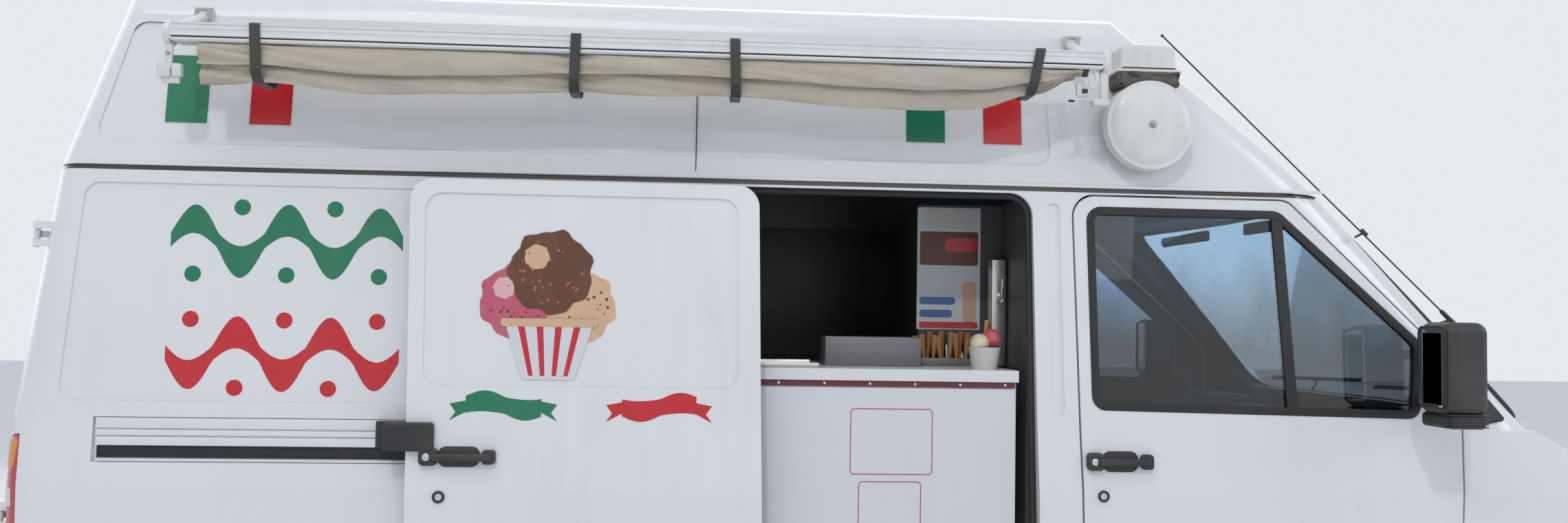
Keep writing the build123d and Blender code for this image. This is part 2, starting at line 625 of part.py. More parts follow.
def body_panels(skin, press, screen_hole):
    lower = skin(block(WHOLE_LENGTH, (-1100, 1100), (SILL_Z - 10, SEAM_Z)))
    roof = skin(block(WHOLE_LENGTH, (-1100, 1100), (SEAM_Z, ROOF_Z + 10)))
    rear_hole = rear_doorway(GAP)
    front_hole = side_prism(FRONT_DOOR, FRONT_DOOR_RADII, 600, 1100, GAP)
    slide_hole = side_prism(SLIDE_DOOR, SLIDE_DOOR_RADII, -1100, -600, GAP)
    arch = rod((REAR_AXLE_X, 600, TYRE_RADIUS), (REAR_AXLE_X, 1200, TYRE_RADIUS), ARCH_RADIUS - 10)
    nose = block((FIREWALL_X - 3, NOSE_ZONE[1]), (-1100, 1100), (SILL_Z - 10, BELT_Z))
    cowl = block((FIREWALL_X - 3, 1900), (-735, 735), (1100, BELT_Z))
    cowl = cowl & nose_cylinder(BONNET_EDGE_RADIUS - GAP)
    lower -= both_sides(arch)
    lower -= rear_hole
    lower -= both_sides(front_hole)
    lower -= slide_hole
    lower -= screen_hole
    groove = block((TAIL_ZONE[0], 1300), (700, 1100), (SEAM_Z - GROOVE_HEIGHT, SEAM_Z))
    lower -= press(both_sides(groove))
    lower -= press(side_pressing(REAR_SIDE_PANEL, 1) + side_pressing(REAR_SIDE_PANEL, -1))
    lower -= press(side_pressing(LEFT_FRONT_PANEL, 1))
    lower -= press(both_sides(side_pressing(POST_PANEL, 1, POST_PANEL_RADIUS)))
    roof -= press(both_sides(side_pressing(ROOF_PANEL, 1)))
    right_x = SLIDE_DOOR[0][0] - 30
    left_x = 240
    far_x = TAIL_ZONE[0] - 100
    right_points = ((far_x, 300), (far_x, 2000), (right_x - 40, 2000), (right_x, 300))
    left_points = ((far_x, 300), (far_x, 2000), (left_x - 43, 2000), (left_x, 300))
    right_zone = side_prism(right_points, (1,) * 4, -1100, 0)
    left_zone = side_prism(left_points, (1,) * 4, 0, 1100)
    recess = block((-2410, -700), (-1000, -948), (1113, 1233))
    return {
        "high_roof": roof,
        "side_panel_right": (lower & right_zone) - recess,
        "side_panel_left": lower & left_zone,
        "cab_frame": ((lower - right_zone) - left_zone) - (nose - cowl),
    }


def side_pressing(points, side, radius=PANEL_RADIUS):
    y_low, y_high = (700, 1100) if side > 0 else (-1100, -700)
    return side_prism(points, (radius,) * len(points), y_low, y_high)


def add_hinges(nodes, outer):
    fixed, moving = front_hinges(outer)
    for post, leaf in zip(fixed, moving):
        nodes["fenders"] += both_sides(post)
        nodes["front_door_left"] += leaf
        nodes["front_door_right"] += mirror(leaf, about=Plane.XZ)
    fixed, moving = rear_hinges(outer)
    for post, leaf in zip(fixed, moving):
        nodes["side_panel_left"] += post
        nodes["side_panel_right"] += mirror(post, about=Plane.XZ)
        nodes["rear_door_left"] += leaf
    post, leaf = bonnet_hinge(outer)
    nodes["cab_frame"] += both_sides(post)
    nodes["bonnet"] += both_sides(leaf)


def build():
    outer = envelope(0)
    inner = envelope(WALL)
    pressed = envelope(PRESS_DEPTH)
    glass_outer = envelope(8)
    glass_inner = envelope(14)

    def skin(tool):
        return (outer & tool) - inner

    def press(tool):
        return (outer & tool) - pressed

    def glass(tool):
        return (glass_outer & tool) - glass_inner

    screen_hole, pane = windscreen(glass)
    nodes = body_panels(skin, press, screen_hole)
    nodes["windscreen"] = pane
    nodes.update(nose_panels(skin))
    nodes.update(front_doors(skin, glass))
    nodes["rear_door_left"] = rear_door_left(skin, press)
    nodes["tail_lamps"] = tail_lamps(skin)
    lamp_hole = both_sides(block((TAIL_X - 50, TAIL_X + 50), (REAR_DOOR_EDGE + GAP, 1000), (896, 1184)))
    for side in ("left", "right"):
        nodes[f"side_panel_{side}"] -= lamp_hole
    add_hinges(nodes, outer)
    nodes["rear_door_right"] = mirror(nodes["rear_door_left"], about=Plane.XZ)
    nodes["sliding_door"] = sliding_door(skin, press)
    nodes["slide_carriage"] = slide_carriage()
    mirror_left = door_mirror(outer)
    nodes["mirror_left"] = mirror_left
    nodes["mirror_right"] = mirror(mirror_left, about=Plane.XZ)
    for axle, x in (("front", FRONT_AXLE_X), ("rear", REAR_AXLE_X)):
        nodes.update(wheel(f"{axle}_left", x, 1))
        nodes.update(wheel(f"{axle}_right", x, -1))
    knuckle = knuckle_left()
    nodes["knuckle_left"] = knuckle
    nodes["knuckle_right"] = mirror(knuckle, about=Plane.XZ)
    nodes["front_suspension"] = front_suspension()
    nodes["rear_axle"] = rear_axle()
    nodes["chassis_rails"] = chassis_rails()
    nodes["floor_pan"] = floor_pan(inner)
    nodes["wheel_liners"] = wheel_liners(inner)
    nodes["front_bumper"] = front_bumper()
    nodes["rear_bumper"] = rear_bumper(outer)
    nodes["engine"] = engine()
    nodes["exhaust"] = exhaust()
    nodes["fuel_tank"] = block((-900, 100), (-800, -470), (220, 459.4), 30)
    nodes.update(cab_inside())
    nodes["seats"] = [seat(190, 640), seat(-820, 60)]
    nodes["bulkhead"] = bulkhead()
    nodes["serving_counter"] = serving_counter()
    nodes["freezer"] = freezer()
    nodes["awning_rail"] = awning_rail(outer)
    nodes["awning_cloth"] = awning_cloth(outer)
    nodes["bell"] = bell(outer)
    return nodes


os.makedirs("parts", exist_ok=True)
for name, shape in build().items():
    solids = shape if isinstance(shape, list) else shape.solids()
    export_step(Compound(children=list(solids)) if len(solids) > 1 else solids[0], f"parts/{name}.step")
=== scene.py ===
import random
from math import atan2, cos, pi, radians, sin, tan
from types import SimpleNamespace

import bpy
from mathutils import Matrix, Vector, noise
from mathutils.bvhtree import BVHTree


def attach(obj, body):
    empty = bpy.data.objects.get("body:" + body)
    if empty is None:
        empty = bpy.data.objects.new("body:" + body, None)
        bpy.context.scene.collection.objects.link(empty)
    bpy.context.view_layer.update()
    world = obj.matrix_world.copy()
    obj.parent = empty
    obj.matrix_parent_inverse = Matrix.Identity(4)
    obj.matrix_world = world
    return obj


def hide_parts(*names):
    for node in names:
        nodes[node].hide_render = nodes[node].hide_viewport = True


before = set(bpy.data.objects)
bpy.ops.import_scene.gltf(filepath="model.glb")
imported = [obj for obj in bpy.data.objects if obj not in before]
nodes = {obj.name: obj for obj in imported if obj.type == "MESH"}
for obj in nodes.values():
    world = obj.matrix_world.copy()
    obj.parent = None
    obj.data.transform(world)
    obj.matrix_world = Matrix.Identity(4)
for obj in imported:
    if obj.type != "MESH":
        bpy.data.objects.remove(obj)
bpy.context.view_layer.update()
print("frame loaded:", len(nodes), "nodes")


# Selection, finishing and small modelling steps

def clearSelection():
    if bpy.context.object and bpy.context.object.mode != "OBJECT":
        bpy.ops.object.mode_set(mode="OBJECT")
    bpy.ops.object.select_all(action="DESELECT")


def pick(piece):
    clearSelection()
    piece.select_set(True)
    bpy.context.view_layer.objects.active = piece
    return piece


def applyPlace(piece):
    pick(piece)
    bpy.ops.object.transform_apply(location=True, rotation=True, scale=True)
    return piece


def applyModifier(piece, kind, **settings):
    pick(piece)
    modifier = piece.modifiers.new("step", kind)
    for key, value in settings.items():
        setattr(modifier, key, value)
    bpy.ops.object.modifier_apply(modifier=modifier.name)
    return piece


def bevelEdges(piece, width, segments=2, angle=40):
    return applyModifier(piece, "BEVEL", width=width, segments=segments, limit_method="ANGLE",
        angle_limit=radians(angle))


# Runs mesh steps, each as (step, settings), on the whole piece
def editMesh(piece, *steps):
    pick(piece)
    bpy.ops.object.mode_set(mode="EDIT")
    bpy.ops.mesh.select_all(action="SELECT")
    for step, settings in steps:
        step(**settings)
    bpy.ops.object.mode_set(mode="OBJECT")
    return piece


def turnOutward(piece):
    return editMesh(piece, (bpy.ops.mesh.remove_doubles, {"threshold": 0.00002}),
                    (bpy.ops.mesh.normals_make_consistent, {"inside": False}))


def joinPieces(pieces):
    pick(pieces[0])
    for other in pieces[1:]:
        other.select_set(True)
    if len(pieces) > 1:
        bpy.ops.object.join()
    return bpy.context.view_layer.objects.active


def copyPiece(piece):
    twin = piece.copy()
    twin.data = piece.data.copy()
    bpy.context.scene.collection.objects.link(twin)
    return twin


def finishPiece(piece, name, material, body="van_body", angle=35):
    if isinstance(piece, list):
        piece = joinPieces(piece)
    applyPlace(piece)
    piece.name = name
    piece.data.name = name
    piece.data.materials.clear()
    piece.data.materials.append(material)
    bpy.ops.object.shade_smooth_by_angle(angle=radians(angle))
    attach(piece, body)
    return piece


def addBlock(low, high, bevel=0.002, segments=2):
    middle = [(a + b) / 2 for a, b in zip(low, high)]
    bpy.ops.mesh.primitive_cube_add(size=1, location=middle)
    piece = bpy.context.object
    piece.scale = [abs(b - a) for a, b in zip(low, high)]
    applyPlace(piece)
    if bevel:
        bevelEdges(piece, bevel, segments)
    return piece


def addRod(start, end, radius, sides=20, endRadius=None, bevel=0):
    start, end = Vector(start), Vector(end)
    run = end - start
    bpy.ops.mesh.primitive_cone_add(
        vertices=sides, radius1=radius, radius2=radius if endRadius is None else endRadius,
        depth=run.length, location=(start + end) / 2, rotation=run.to_track_quat("Z", "Y").to_euler())
    piece = applyPlace(bpy.context.object)
    if bevel:
        bevelEdges(piece, bevel, 2, 50)
    return piece


# A round piece from its profile: (radius, height) pairs, turned about an axis
def addTurned(profile, centre, direction, steps=40):
    mesh = bpy.data.meshes.new("profile")
    mesh.from_pydata([(r, 0, h) for r, h in profile], [(i, i + 1) for i in range(len(profile) - 1)], [])
    piece = bpy.data.objects.new("turned", mesh)
    bpy.context.scene.collection.objects.link(piece)
    editMesh(piece, (bpy.ops.mesh.spin,
        {"steps": steps, "angle": 2 * pi, "center": (0, 0, 0), "axis": (0, 0, 1)}))
    turnOutward(piece)
    piece.rotation_euler = Vector(direction).to_track_quat("Z", "Y").to_euler()
    piece.location = centre
    return applyPlace(piece)


def curveToMesh(curve, name="curve"):
    piece = bpy.data.objects.new(name, curve)
    bpy.context.scene.collection.objects.link(piece)
    pick(piece)
    bpy.ops.object.convert(target="MESH")
    return bpy.context.object


def addPipe(points, radius, closed=False, sides=4):
    curve = bpy.data.curves.new("pipe", "CURVE")
    curve.dimensions = "3D"
    curve.bevel_depth = radius
    curve.bevel_resolution = sides
    curve.use_fill_caps = True
    spline = curve.splines.new("POLY")
    spline.points.add(len(points) - 1)
    for point, place in zip(spline.points, points):
        point.co = (*place, 1)
    spline.use_cyclic_u = closed
    return curveToMesh(curve)


# Corner points of an outline replaced by arcs; a radius of 0 keeps the corner
def roundCorners(points, radii, steps=6):
    rounded = []
    count = len(points)
    for index, radius in enumerate(radii):
        corner = Vector(points[index])
        before = (Vector(points[index - 1]) - corner).normalized()
        after = (Vector(points[(index + 1) % count]) - corner).normalized()
        if radius == 0:
            rounded.append(tuple(corner))
            continue
        half = before.angle(after) / 2
        reach = radius / tan(half)
        centre = corner + (before + after).normalized() * radius / sin(half)
        first = corner + before * reach - centre
        last = corner + after * reach - centre
        startAngle = atan2(first.y, first.x)
        sweep = (atan2(last.y, last.x) - startAngle + pi) % (2 * pi) - pi
        for step in range(steps + 1):
            angle = startAngle + sweep * step / steps
            rounded.append((centre.x + radius * cos(angle), centre.y + radius * sin(angle)))
    return rounded


def growOutline(points, distance):
    area = sum(a[0] * b[1] - b[0] * a[1] for a, b in zip(points, points[1:] + points[:1]))
    turn = 1 if area > 0 else -1
    grown = []
    for index, point in enumerate(points):
        before, after = Vector(points[index - 1]), Vector(points[(index + 1) % len(points)])
        here = Vector(point)
        one, two = (here - before).normalized(), (after - here).normalized()
        outward = (Vector((one.y, -one.x)) + Vector((two.y, -two.x))).normalized() * turn
        stretch = 1 / max(0.3, abs(outward.dot(Vector((one.y, -one.x)))))
        grown.append(tuple(here + outward * distance * stretch))
    return grown


# A flat plate drawn in the side view: loops of (x, z), depth outward along Y from 0
def addFlat(loops, depth, bevel=0.0):
    curve = bpy.data.curves.new("flat", "CURVE")
    curve.dimensions = "2D"
    curve.fill_mode = "BOTH"
    curve.extrude = depth / 2 - bevel
    curve.bevel_depth = bevel
    curve.bevel_resolution = 2
    curve.offset = -bevel
    for loop in loops:
        spline = curve.splines.new("POLY")
        spline.points.add(len(loop) - 1)
        for point, place in zip(spline.points, loop):
            point.co = (place[0], place[1], 0, 1)
        spline.use_cyclic_u = True
    piece = curveToMesh(curve, "flat")
    piece.rotation_euler = (pi / 2, 0, 0)
    piece.location = (0, depth / 2, 0)
    return applyPlace(piece)


# Half width of the body at a height, with its slight taper towards the nose
sideLine = ((0.38, 0.950), (1.05, 0.970), (1.231, 0.958), (1.913, 0.938), (2.6, 0.865))


sideTaper = 0.0184


sideEdges = (1.05, 1.231, 1.913)


def sideY(x, z):
    z = min(max(z, sideLine[0][0]), sideLine[-1][0])
    for low, high in zip(sideLine, sideLine[1:]):
        if z <= high[0]:
            half = low[1] + (high[1] - low[1]) * (z - low[0]) / (high[0] - low[0])
            return half - sideTaper * max(x, 0)


def cutAt(piece, place, normal):
    editMesh(piece, (bpy.ops.mesh.bisect, {"plane_co": place, "plane_no": normal}))


# Lays a piece drawn as (x, outward, z) on the van's side; right side is -1, and a surface gives its
# pressed panels
def layOnSide(piece, side=-1, base=0.0, surface=None):
    xs = [v.co.x for v in piece.data.vertices]
    zs = [v.co.z for v in piece.data.vertices]
    if min(xs) < 0 < max(xs):
        cutAt(piece, (0, 0, 0), (1, 0, 0))
    for z in sideEdges:
        if min(zs) < z < max(zs):
            cutAt(piece, (0, 0, z), (0, 0, 1))
    for vertex in piece.data.vertices:
        place = vertex.co.copy()
        reach = sideY(place.x, place.z) + base
        if surface is not None:
            hit = surface.ray_cast(Vector((place.x, side * 3, place.z)), Vector((0, -side, 0)))[0]
            reach = abs(hit.y) + base
        vertex.co.y = side * (reach + place.y)
    return turnOutward(piece)


def rectangle(x, z, radius=0.0):
    points = ((x[0], z[0]), (x[1], z[0]), (x[1], z[1]), (x[0], z[1]))
    return roundCorners(points, (radius,) * 4)


def disc(x, z, radius, steps=24):
    return [(x + radius * cos(2 * pi * i / steps),
        z + radius * sin(2 * pi * i / steps)) for i in range(steps)]


# Camera, light and floor

cameraView = SimpleNamespace(
    place=(-0.79866, -4.36353, 1.53020), turn=(3.9488, 2.5807, 0.9566), reach=200,
    focalPixels=1775.73, imageWidth=2280, sensor=36.0,
)


def addCamera():
    yaw, pitch, roll = (radians(angle) for angle in cameraView.turn)
    ahead = Vector((sin(yaw), cos(yaw), 0))
    sideways = Vector((cos(yaw), -sin(yaw), 0))
    aim = ahead * cos(pitch) + Vector((0, 0, sin(pitch)))
    above = Vector((0, 0, cos(pitch))) - ahead * sin(pitch)
    right = sideways * cos(roll) + above * sin(roll)
    up = above * cos(roll) - sideways * sin(roll)
    bpy.ops.object.camera_add()
    camera = bpy.context.object
    turn = Matrix((right, up, -aim)).transposed().to_4x4()
    camera.matrix_world = Matrix.Translation(cameraView.place) @ turn
    camera.data.sensor_width = cameraView.sensor
    camera.data.lens = cameraView.sensor * cameraView.focalPixels / cameraView.imageWidth
    camera.data.clip_end = cameraView.reach
    bpy.context.scene.camera = camera


studio = SimpleNamespace(
    ambient=(0.78, 0.86, 1.0), ambientStrength=0.46, backdrop=(0.80, 0.82, 0.85),
    floorColour=(0.62, 0.63, 0.65), floorGlow=0.34, floorSize=60,
    lamps=(
        ("skyPanel", (-2.5, -4.2, 7.8), (0, -0.6, 1.2), 4.2, 125, (1.0, 0.99, 0.97)),
        ("sunPanel", (-2.6, -10.5, 9.5), (-0.3, 0, 1.6), 0.7, 250, (1.0, 0.98, 0.95)),
        ("sidePanel", (1.5, -9.0, 4.6), (0, 0, 1.7), 4.5, 34, (0.97, 0.98, 1.0)),
        ("frontPanel", (7.0, -3.0, 4.5), (1.0, 0, 1.0), 4.0, 120, (0.95, 0.97, 1.0)),
        ("rearPanel", (-7.5, 3.5, 5.0), (-1.0, 0, 1.0), 8.0, 145, (1.0, 0.99, 0.97)),
        ("leftPanel", (1.0, 7.5, 5.0), (0, 0, 1.0), 9.0, 170, (0.97, 0.98, 1.0)),
    ),
)


def whiteToCamera(tree, shaded, output, colour):
    rays = addNode(tree, "LightPath").node.outputs
    seen = addMath(tree, "ADD", rays["Is Glossy Ray"], rays["Is Transmission Ray"])
    total = addMath(tree, "ADD", rays["Is Camera Ray"], seen, clamp=True)
    white = addNode(tree, "Background", {"Color": colour, "Strength": 1})
    tree.links.new(addNode(tree, "MixShader", {0: total, 1: shaded, 2: white}), output)


def addStudio():
    scene = bpy.context.scene
    scene.view_settings.view_transform = "Standard"
    world = bpy.data.worlds.new("studio")
    scene.world = world
    world.use_nodes = True
    tree = world.node_tree
    ambient = tree.nodes["Background"]
    feed(tree, ambient, {"Color": studio.ambient, "Strength": studio.ambientStrength})
    whiteToCamera(tree, ambient.outputs[0], tree.nodes["World Output"].inputs["Surface"], studio.backdrop)
    for name, place, target, size, power, colour in studio.lamps:
        aim = Vector(target) - Vector(place)
        bpy.ops.object.light_add(type="AREA", location=place,
            rotation=aim.to_track_quat("-Z", "Y").to_euler())
        lamp = bpy.context.object
        lamp.name = name
        lamp.data.size = size
        lamp.data.energy = power
        lamp.data.color = colour
    bpy.ops.mesh.primitive_plane_add(size=studio.floorSize, location=(0, 0, 0))
    floor = bpy.context.object
    floor.name = "studioFloor"
    floor.data.materials.append(floorMaterial())


# Materials


def newMaterial(name):
    material = bpy.data.materials.new(name)
    material.use_nodes = True
    tree = material.node_tree
    return material, tree, tree.nodes["Principled BSDF"]


# Links outputs to a node's inputs, or sets the inputs' own values
def feed(tree, node, inputs):
    for key, value in inputs.items():
        socket = node.inputs[key]
        if hasattr(value, "is_linked"):
            tree.links.new(value, socket)
        else:
            socket.default_value = (*value, 1) if socket.type == "RGBA" else value


def addNode(tree, kind, inputs=None, output=0, **settings):
    node = tree.nodes.new(f"ShaderNode{kind}")
    for key, value in settings.items():
        setattr(node, key, value)
    feed(tree, node, inputs or {})
    return node.outputs[output]


def addMath(tree, operation, first, second=None, clamp=False):
    inputs = {0: first} if second is None else {0: first, 1: second}
    return addNode(tree, "Math", inputs, operation=operation, use_clamp=clamp)


def addMix(tree, factor, first, second):
    return addNode(tree, "Mix", {6: first, 7: second, 0: factor}, 2, data_type="RGBA")


def addRange(tree, value, fromLow, fromHigh, toLow=0.0, toHigh=1.0):
    return addNode(tree, "MapRange", dict(enumerate((value, fromLow, fromHigh, toLow, toHigh))))


def addNoise(tree, vector, scale, detail=3.0, roughness=0.5):
    inputs = {"Vector": vector, "Scale": scale, "Detail": detail, "Roughness": roughness}
    return addNode(tree, "TexNoise", inputs, "Fac")


def addMapping(tree, vector, scale):
    return addNode(tree, "Mapping", {"Vector": vector, "Scale": scale})


def objectPlace(tree):
    return addNode(tree, "TexCoord", output="Object")


def splitVector(tree, vector):
    return addNode(tree, "SeparateXYZ", {0: vector}).node.outputs


def newGroup(name, inputs, outputs):
    group = bpy.data.node_groups.new(name, "ShaderNodeTree")
    for way, sockets in (("INPUT", inputs), ("OUTPUT", outputs)):
        for label, kind in sockets:
            group.interface.new_socket(label, in_out=way, socket_type=kind)
    return group, group.nodes.new("NodeGroupInput"), group.nodes.new("NodeGroupOutput")


# Dust and weather: patches, streaks that run down, and a fine grain
def makeWeathering():
    colour, number = "NodeSocketColor", "NodeSocketFloat"
    group, given, result = newGroup(
        "weathering",
        (("Colour", colour), ("Dust Colour", colour), ("Dust", number), ("Patch Scale", number),
         ("Grain Scale", number), ("Smooth", number), ("Rough", number)),
        (("Colour", colour), ("Roughness", number), ("Height", number)))
    inputs = given.outputs
    place = objectPlace(group)
    patches = addNoise(group, place, inputs["Patch Scale"], 5, 0.6)
    streaks = addNoise(group, addMapping(group, place, (5, 5, 0.6)), 4.0, 4, 0.6)
    patchMask, streakMask = addRange(group, patches, 0.35, 0.72), addRange(group, streaks, 0.3, 0.75)
    both = addMath(group, "MULTIPLY", patchMask, streakMask)
    mask = addMath(group, "MULTIPLY", both, inputs["Dust"], clamp=True)
    grain = addNoise(group, place, inputs["Grain Scale"], 2, 0.5)
    coarse, fine = addMath(group, "MULTIPLY", patches, 0.6), addMath(group, "MULTIPLY", grain, 0.4)
    worn = addMath(group, "ADD", coarse, fine)
    feed(group, result, {
        "Colour": addMix(group, mask, inputs["Colour"], inputs["Dust Colour"]),
        "Roughness": addRange(group, worn, 0.3, 0.7, inputs["Smooth"], inputs["Rough"]),
        "Height": grain,
    })
    return group


weathering = makeWeathering()


finishDefaults = {"bump": 0.15, "bumpDepth": 0.0006, "metallic": 0.0, "coat": 0.0, "coatRough": 0.08,
    "sheen": 0.0}


def placeWeathering(tree, shader, values, colour=None):
    values = {**finishDefaults, **values}
    worn = addNode(tree, "Group", {
        "Colour": values["colour"] if colour is None else colour,
        "Dust Colour": values["dustColour"], "Dust": values["dust"],
        "Patch Scale": values["patch"], "Grain Scale": values["grain"],
        "Smooth": values["smooth"], "Rough": values["rough"],
    }, node_tree=weathering).node.outputs
    height = {"Strength": values["bump"], "Distance": values["bumpDepth"], "Height": worn["Height"]}
    bump = addNode(tree, "Bump", height)
    feed(tree, shader, {
        "Base Color": worn["Colour"], "Roughness": worn["Roughness"], "Normal": bump,
        "Metallic": values["metallic"], "Coat Weight": values["coat"],
        "Coat Roughness": values["coatRough"], "Sheen Weight": values["sheen"],
    })
    return bump


# The values of a finish: its colour, the dust's colour and amount, the size of patches and grain, and the
# roughness from its smoothest to its roughest spot; the others are given by name
def look(colour, dustColour, dust, patch, grain, smooth, rough, **others):
    return {"colour": colour, "dustColour": dustColour, "dust": dust, "patch": patch, "grain": grain,
            "smooth": smooth, "rough": rough, **others}


def makeFinish(name, slot, *values, **others):
    material, tree, shader = newMaterial(name)
    placeWeathering(tree, shader, look(*values, **others))
    return material


# The inside colour is painted shade: near black for faces that look into the van
bodyPaintLook = {
    "colour": (0.77, 0.775, 0.785), "insideShade": (0.035, 0.034, 0.033), "sealant": (0.050, 0.034, 0.032),
    "dustColour": (0.40, 0.38,
        0.35), "dust": 0.16, "patch": 1.6, "grain": 700, "smooth": 0.22, "rough": 0.36,
    "bump": 0.06, "bumpDepth": 0.0004, "coat": 0.55, "coatRough": 0.06,
    "groove": (1.9005, 1.9135), "grooveFrom": 0.70, "roofFrom": 1.93, "inwardBelow": -0.45,
}


# White paint outside; faces that look inward get painted shade, a near-black colour for the dim inside, and
# lose their coat; sealant in the groove under the roof
def makeBodyPaint(name, paintInsideShade=True):
    values = bodyPaintLook
    material, tree, shader = newMaterial(name)
    coordinates = addNode(tree, "TexCoord").node.outputs
    place, facing = splitVector(tree, coordinates["Object"]), splitVector(tree, coordinates["Normal"])
    sideways = addMath(tree, "MULTIPLY", facing["Y"], addMath(tree, "SIGN", place["Y"]))
    inRoof = addMath(tree, "GREATER_THAN", place["Z"], values["roofFrom"])
    downward = addMath(tree, "MULTIPLY", facing["Z"], inRoof)
    inward = addMath(tree, "LESS_THAN", addMath(tree, "ADD", sideways, downward), values["inwardBelow"])
    outside = addMath(tree, "GREATER_THAN", addMath(tree, "ABSOLUTE", place["Y"]), values["grooveFrom"])
    aboveLow = addMath(tree, "GREATER_THAN", place["Z"], values["groove"][0])
    belowHigh = addMath(tree, "LESS_THAN", place["Z"], values["groove"][1])
    groove = addMath(tree, "MULTIPLY", addMath(tree, "MULTIPLY", aboveLow, belowHigh), outside)
    painted = addMix(tree, groove, values["colour"], values["sealant"])
    # Painted shade: faces that look inward turn near black
    if paintInsideShade:
        painted = addMix(tree, inward, painted, values["insideShade"])
    placeWeathering(tree, shader, values, painted)
    if paintInsideShade:
        coat = addMath(tree, "MULTIPLY", addMath(tree, "SUBTRACT", 1.0, inward), values["coat"])
        feed(tree, shader, {"Coat Weight": coat})
    return material


# The upper colours are painted sky reflection, blended in between the fade heights
tints = SimpleNamespace(
    side=(0.22, 0.25, 0.27), sideSkyReflection=(0.36, 0.50, 0.66),
    screen=(0.66, 0.74, 0.76), screenSkyReflection=(0.74, 0.83, 0.86), fade=(1.62, 1.92),
)


# Clear or tinted glass with a painted sky reflection: its colour turns bluer towards its top edge
def makeGlass(name, colour, upper, ior=1.5, dust=0.015):
    material, tree, shader = newMaterial(name)
    place = objectPlace(tree)
    smears = addNoise(tree, addMapping(tree, place, (1, 1, 0.5)), 9.0, 5, 0.6)
    height = addMath(tree, "ADD", splitVector(tree, place)["Z"], addMath(tree, "MULTIPLY", smears, 0.3))
    feed(tree, shader, {
        "Transmission Weight": 1, "IOR": ior, "Roughness": addRange(tree, smears, 0.4, 0.8, 0.0, dust),
        "Base Color": addMix(tree, addRange(tree, height, *tints.fade), colour, upper),
    })
    return material


def floorMaterial():
    material, tree, shader = newMaterial("studioFloorPaint")
    speckle = addNoise(tree, objectPlace(tree), 1.5, 4, 0.5)
    low = [c * 0.97 for c in studio.floorColour]
    feed(tree, shader, {
        "Base Color": addMix(tree, speckle, low, studio.floorColour), "Roughness": 0.9,
        "Emission Color": studio.backdrop, "Emission Strength": studio.floorGlow,
    })
    return material


# A finish with fine ribs across an axis
def makeRibbed(name, slot, axis, count, depth, *values, **others):
    material, tree, shader = newMaterial(name)
    bump = placeWeathering(tree, shader, look(*values, **others))
    along = splitVector(tree, objectPlace(tree))[axis]
    wave = addMath(tree, "SINE", addMath(tree, "MULTIPLY", along, count * 2 * pi))
    ribs = addNode(tree, "Bump", {"Strength": 0.8, "Distance": depth, "Height": wave, "Normal": bump})
    feed(tree, shader, {"Normal": ribs})
    return material


# Woven cloth: two crossed threads over painted fold shading, noise patches of a second colour
def makeWoven(name, slot, threads, acrossAxes, foldShading, threadColour, *values, **others):
    material, tree, shader = newMaterial(name)
    cloth = look(*values, **{"sheen": 0.15, **others})
    place = objectPlace(tree)
    parts = splitVector(tree, place)
    one, two = (addMath(tree, "SINE", addMath(tree, "MULTIPLY", parts[a], threads * 2)) for a in acrossAxes)
    weave = addRange(tree, addMath(tree, "MULTIPLY", one, two), -1, 1)
    folds = addNoise(tree, addMapping(tree, place, (2.0, 6.0, 6.0)), 3.0, 4, 0.6)
    shade = addMix(tree, addRange(tree, folds, 0.3, 0.75), cloth["colour"], foldShading)
    shade = addMix(tree, addMath(tree, "MULTIPLY", weave, 0.14), shade, threadColour)
    placeWeathering(tree, shader, cloth, shade)
    threadBump = addNode(tree, "Bump", {"Strength": 0.5, "Distance": 0.0005, "Height": weave})
    feed(tree, shader, {"Normal": threadBump})
    return material


# The first paint darkens inward faces as painted shade; the second paints no such shade
paint = makeBodyPaint("whiteVanPaint")
plainPaint = makeBodyPaint("whiteVanPaintNoInsideShade", paintInsideShade=False)
windowGlass = makeGlass("tintedSideGlass", tints.side, tints.sideSkyReflection, 1.6)
screenGlass = makeGlass("clearScreenGlass", tints.screen, tints.screenSkyReflection)
lampGlass = makeRibbed("ribbedLampCover", "body_paint", "Y", 70, 0.0008, (0.85, 0.87, 0.9),
    (0.30, 0.27, 0.23), 0.05, 3, 300, 0.05, 0.12)
feed(lampGlass.node_tree, lampGlass.node_tree.nodes["Principled BSDF"],
    {"Transmission Weight": 0.85, "IOR": 1.45})
blackTrim = makeFinish("blackTrimPlastic", "black_plastic", (0.020, 0.020, 0.021), (0.16, 0.15, 0.14),
    0.35, 3, 900, 0.38, 0.62, bump=0.3)
rubber = makeFinish("sealRubber", "black_plastic", (0.013, 0.013, 0.013), (0.12, 0.11, 0.10),
    0.3, 3, 500, 0.5, 0.75, bump=0.25)
tyreRubber = makeFinish("tyreRubber", "tyre_rubber", (0.022, 0.022, 0.022), (0.17, 0.155, 0.135),
    0.55, 9, 350, 0.6, 0.9, bump=0.4, bumpDepth=0.001)
rimPaint = makeFinish("silverWheelPaint", "rim_paint", (0.50, 0.51, 0.52), (0.16, 0.13, 0.11),
    0.6, 8, 300, 0.3, 0.5, metallic=0.35, coat=0.2)
chassisPaint = makeFinish("chassisPaint", "chassis_black", (0.028, 0.028, 0.028), (0.17, 0.12, 0.085),
    0.6, 5, 160, 0.5, 0.8, bump=0.5, bumpDepth=0.001)
castIron = makeFinish("castIron", "chassis_black", (0.13, 0.125, 0.12), (0.20, 0.11, 0.06),
    0.6, 7, 220, 0.45, 0.75, metallic=0.6, bump=0.6, bumpDepth=0.001)
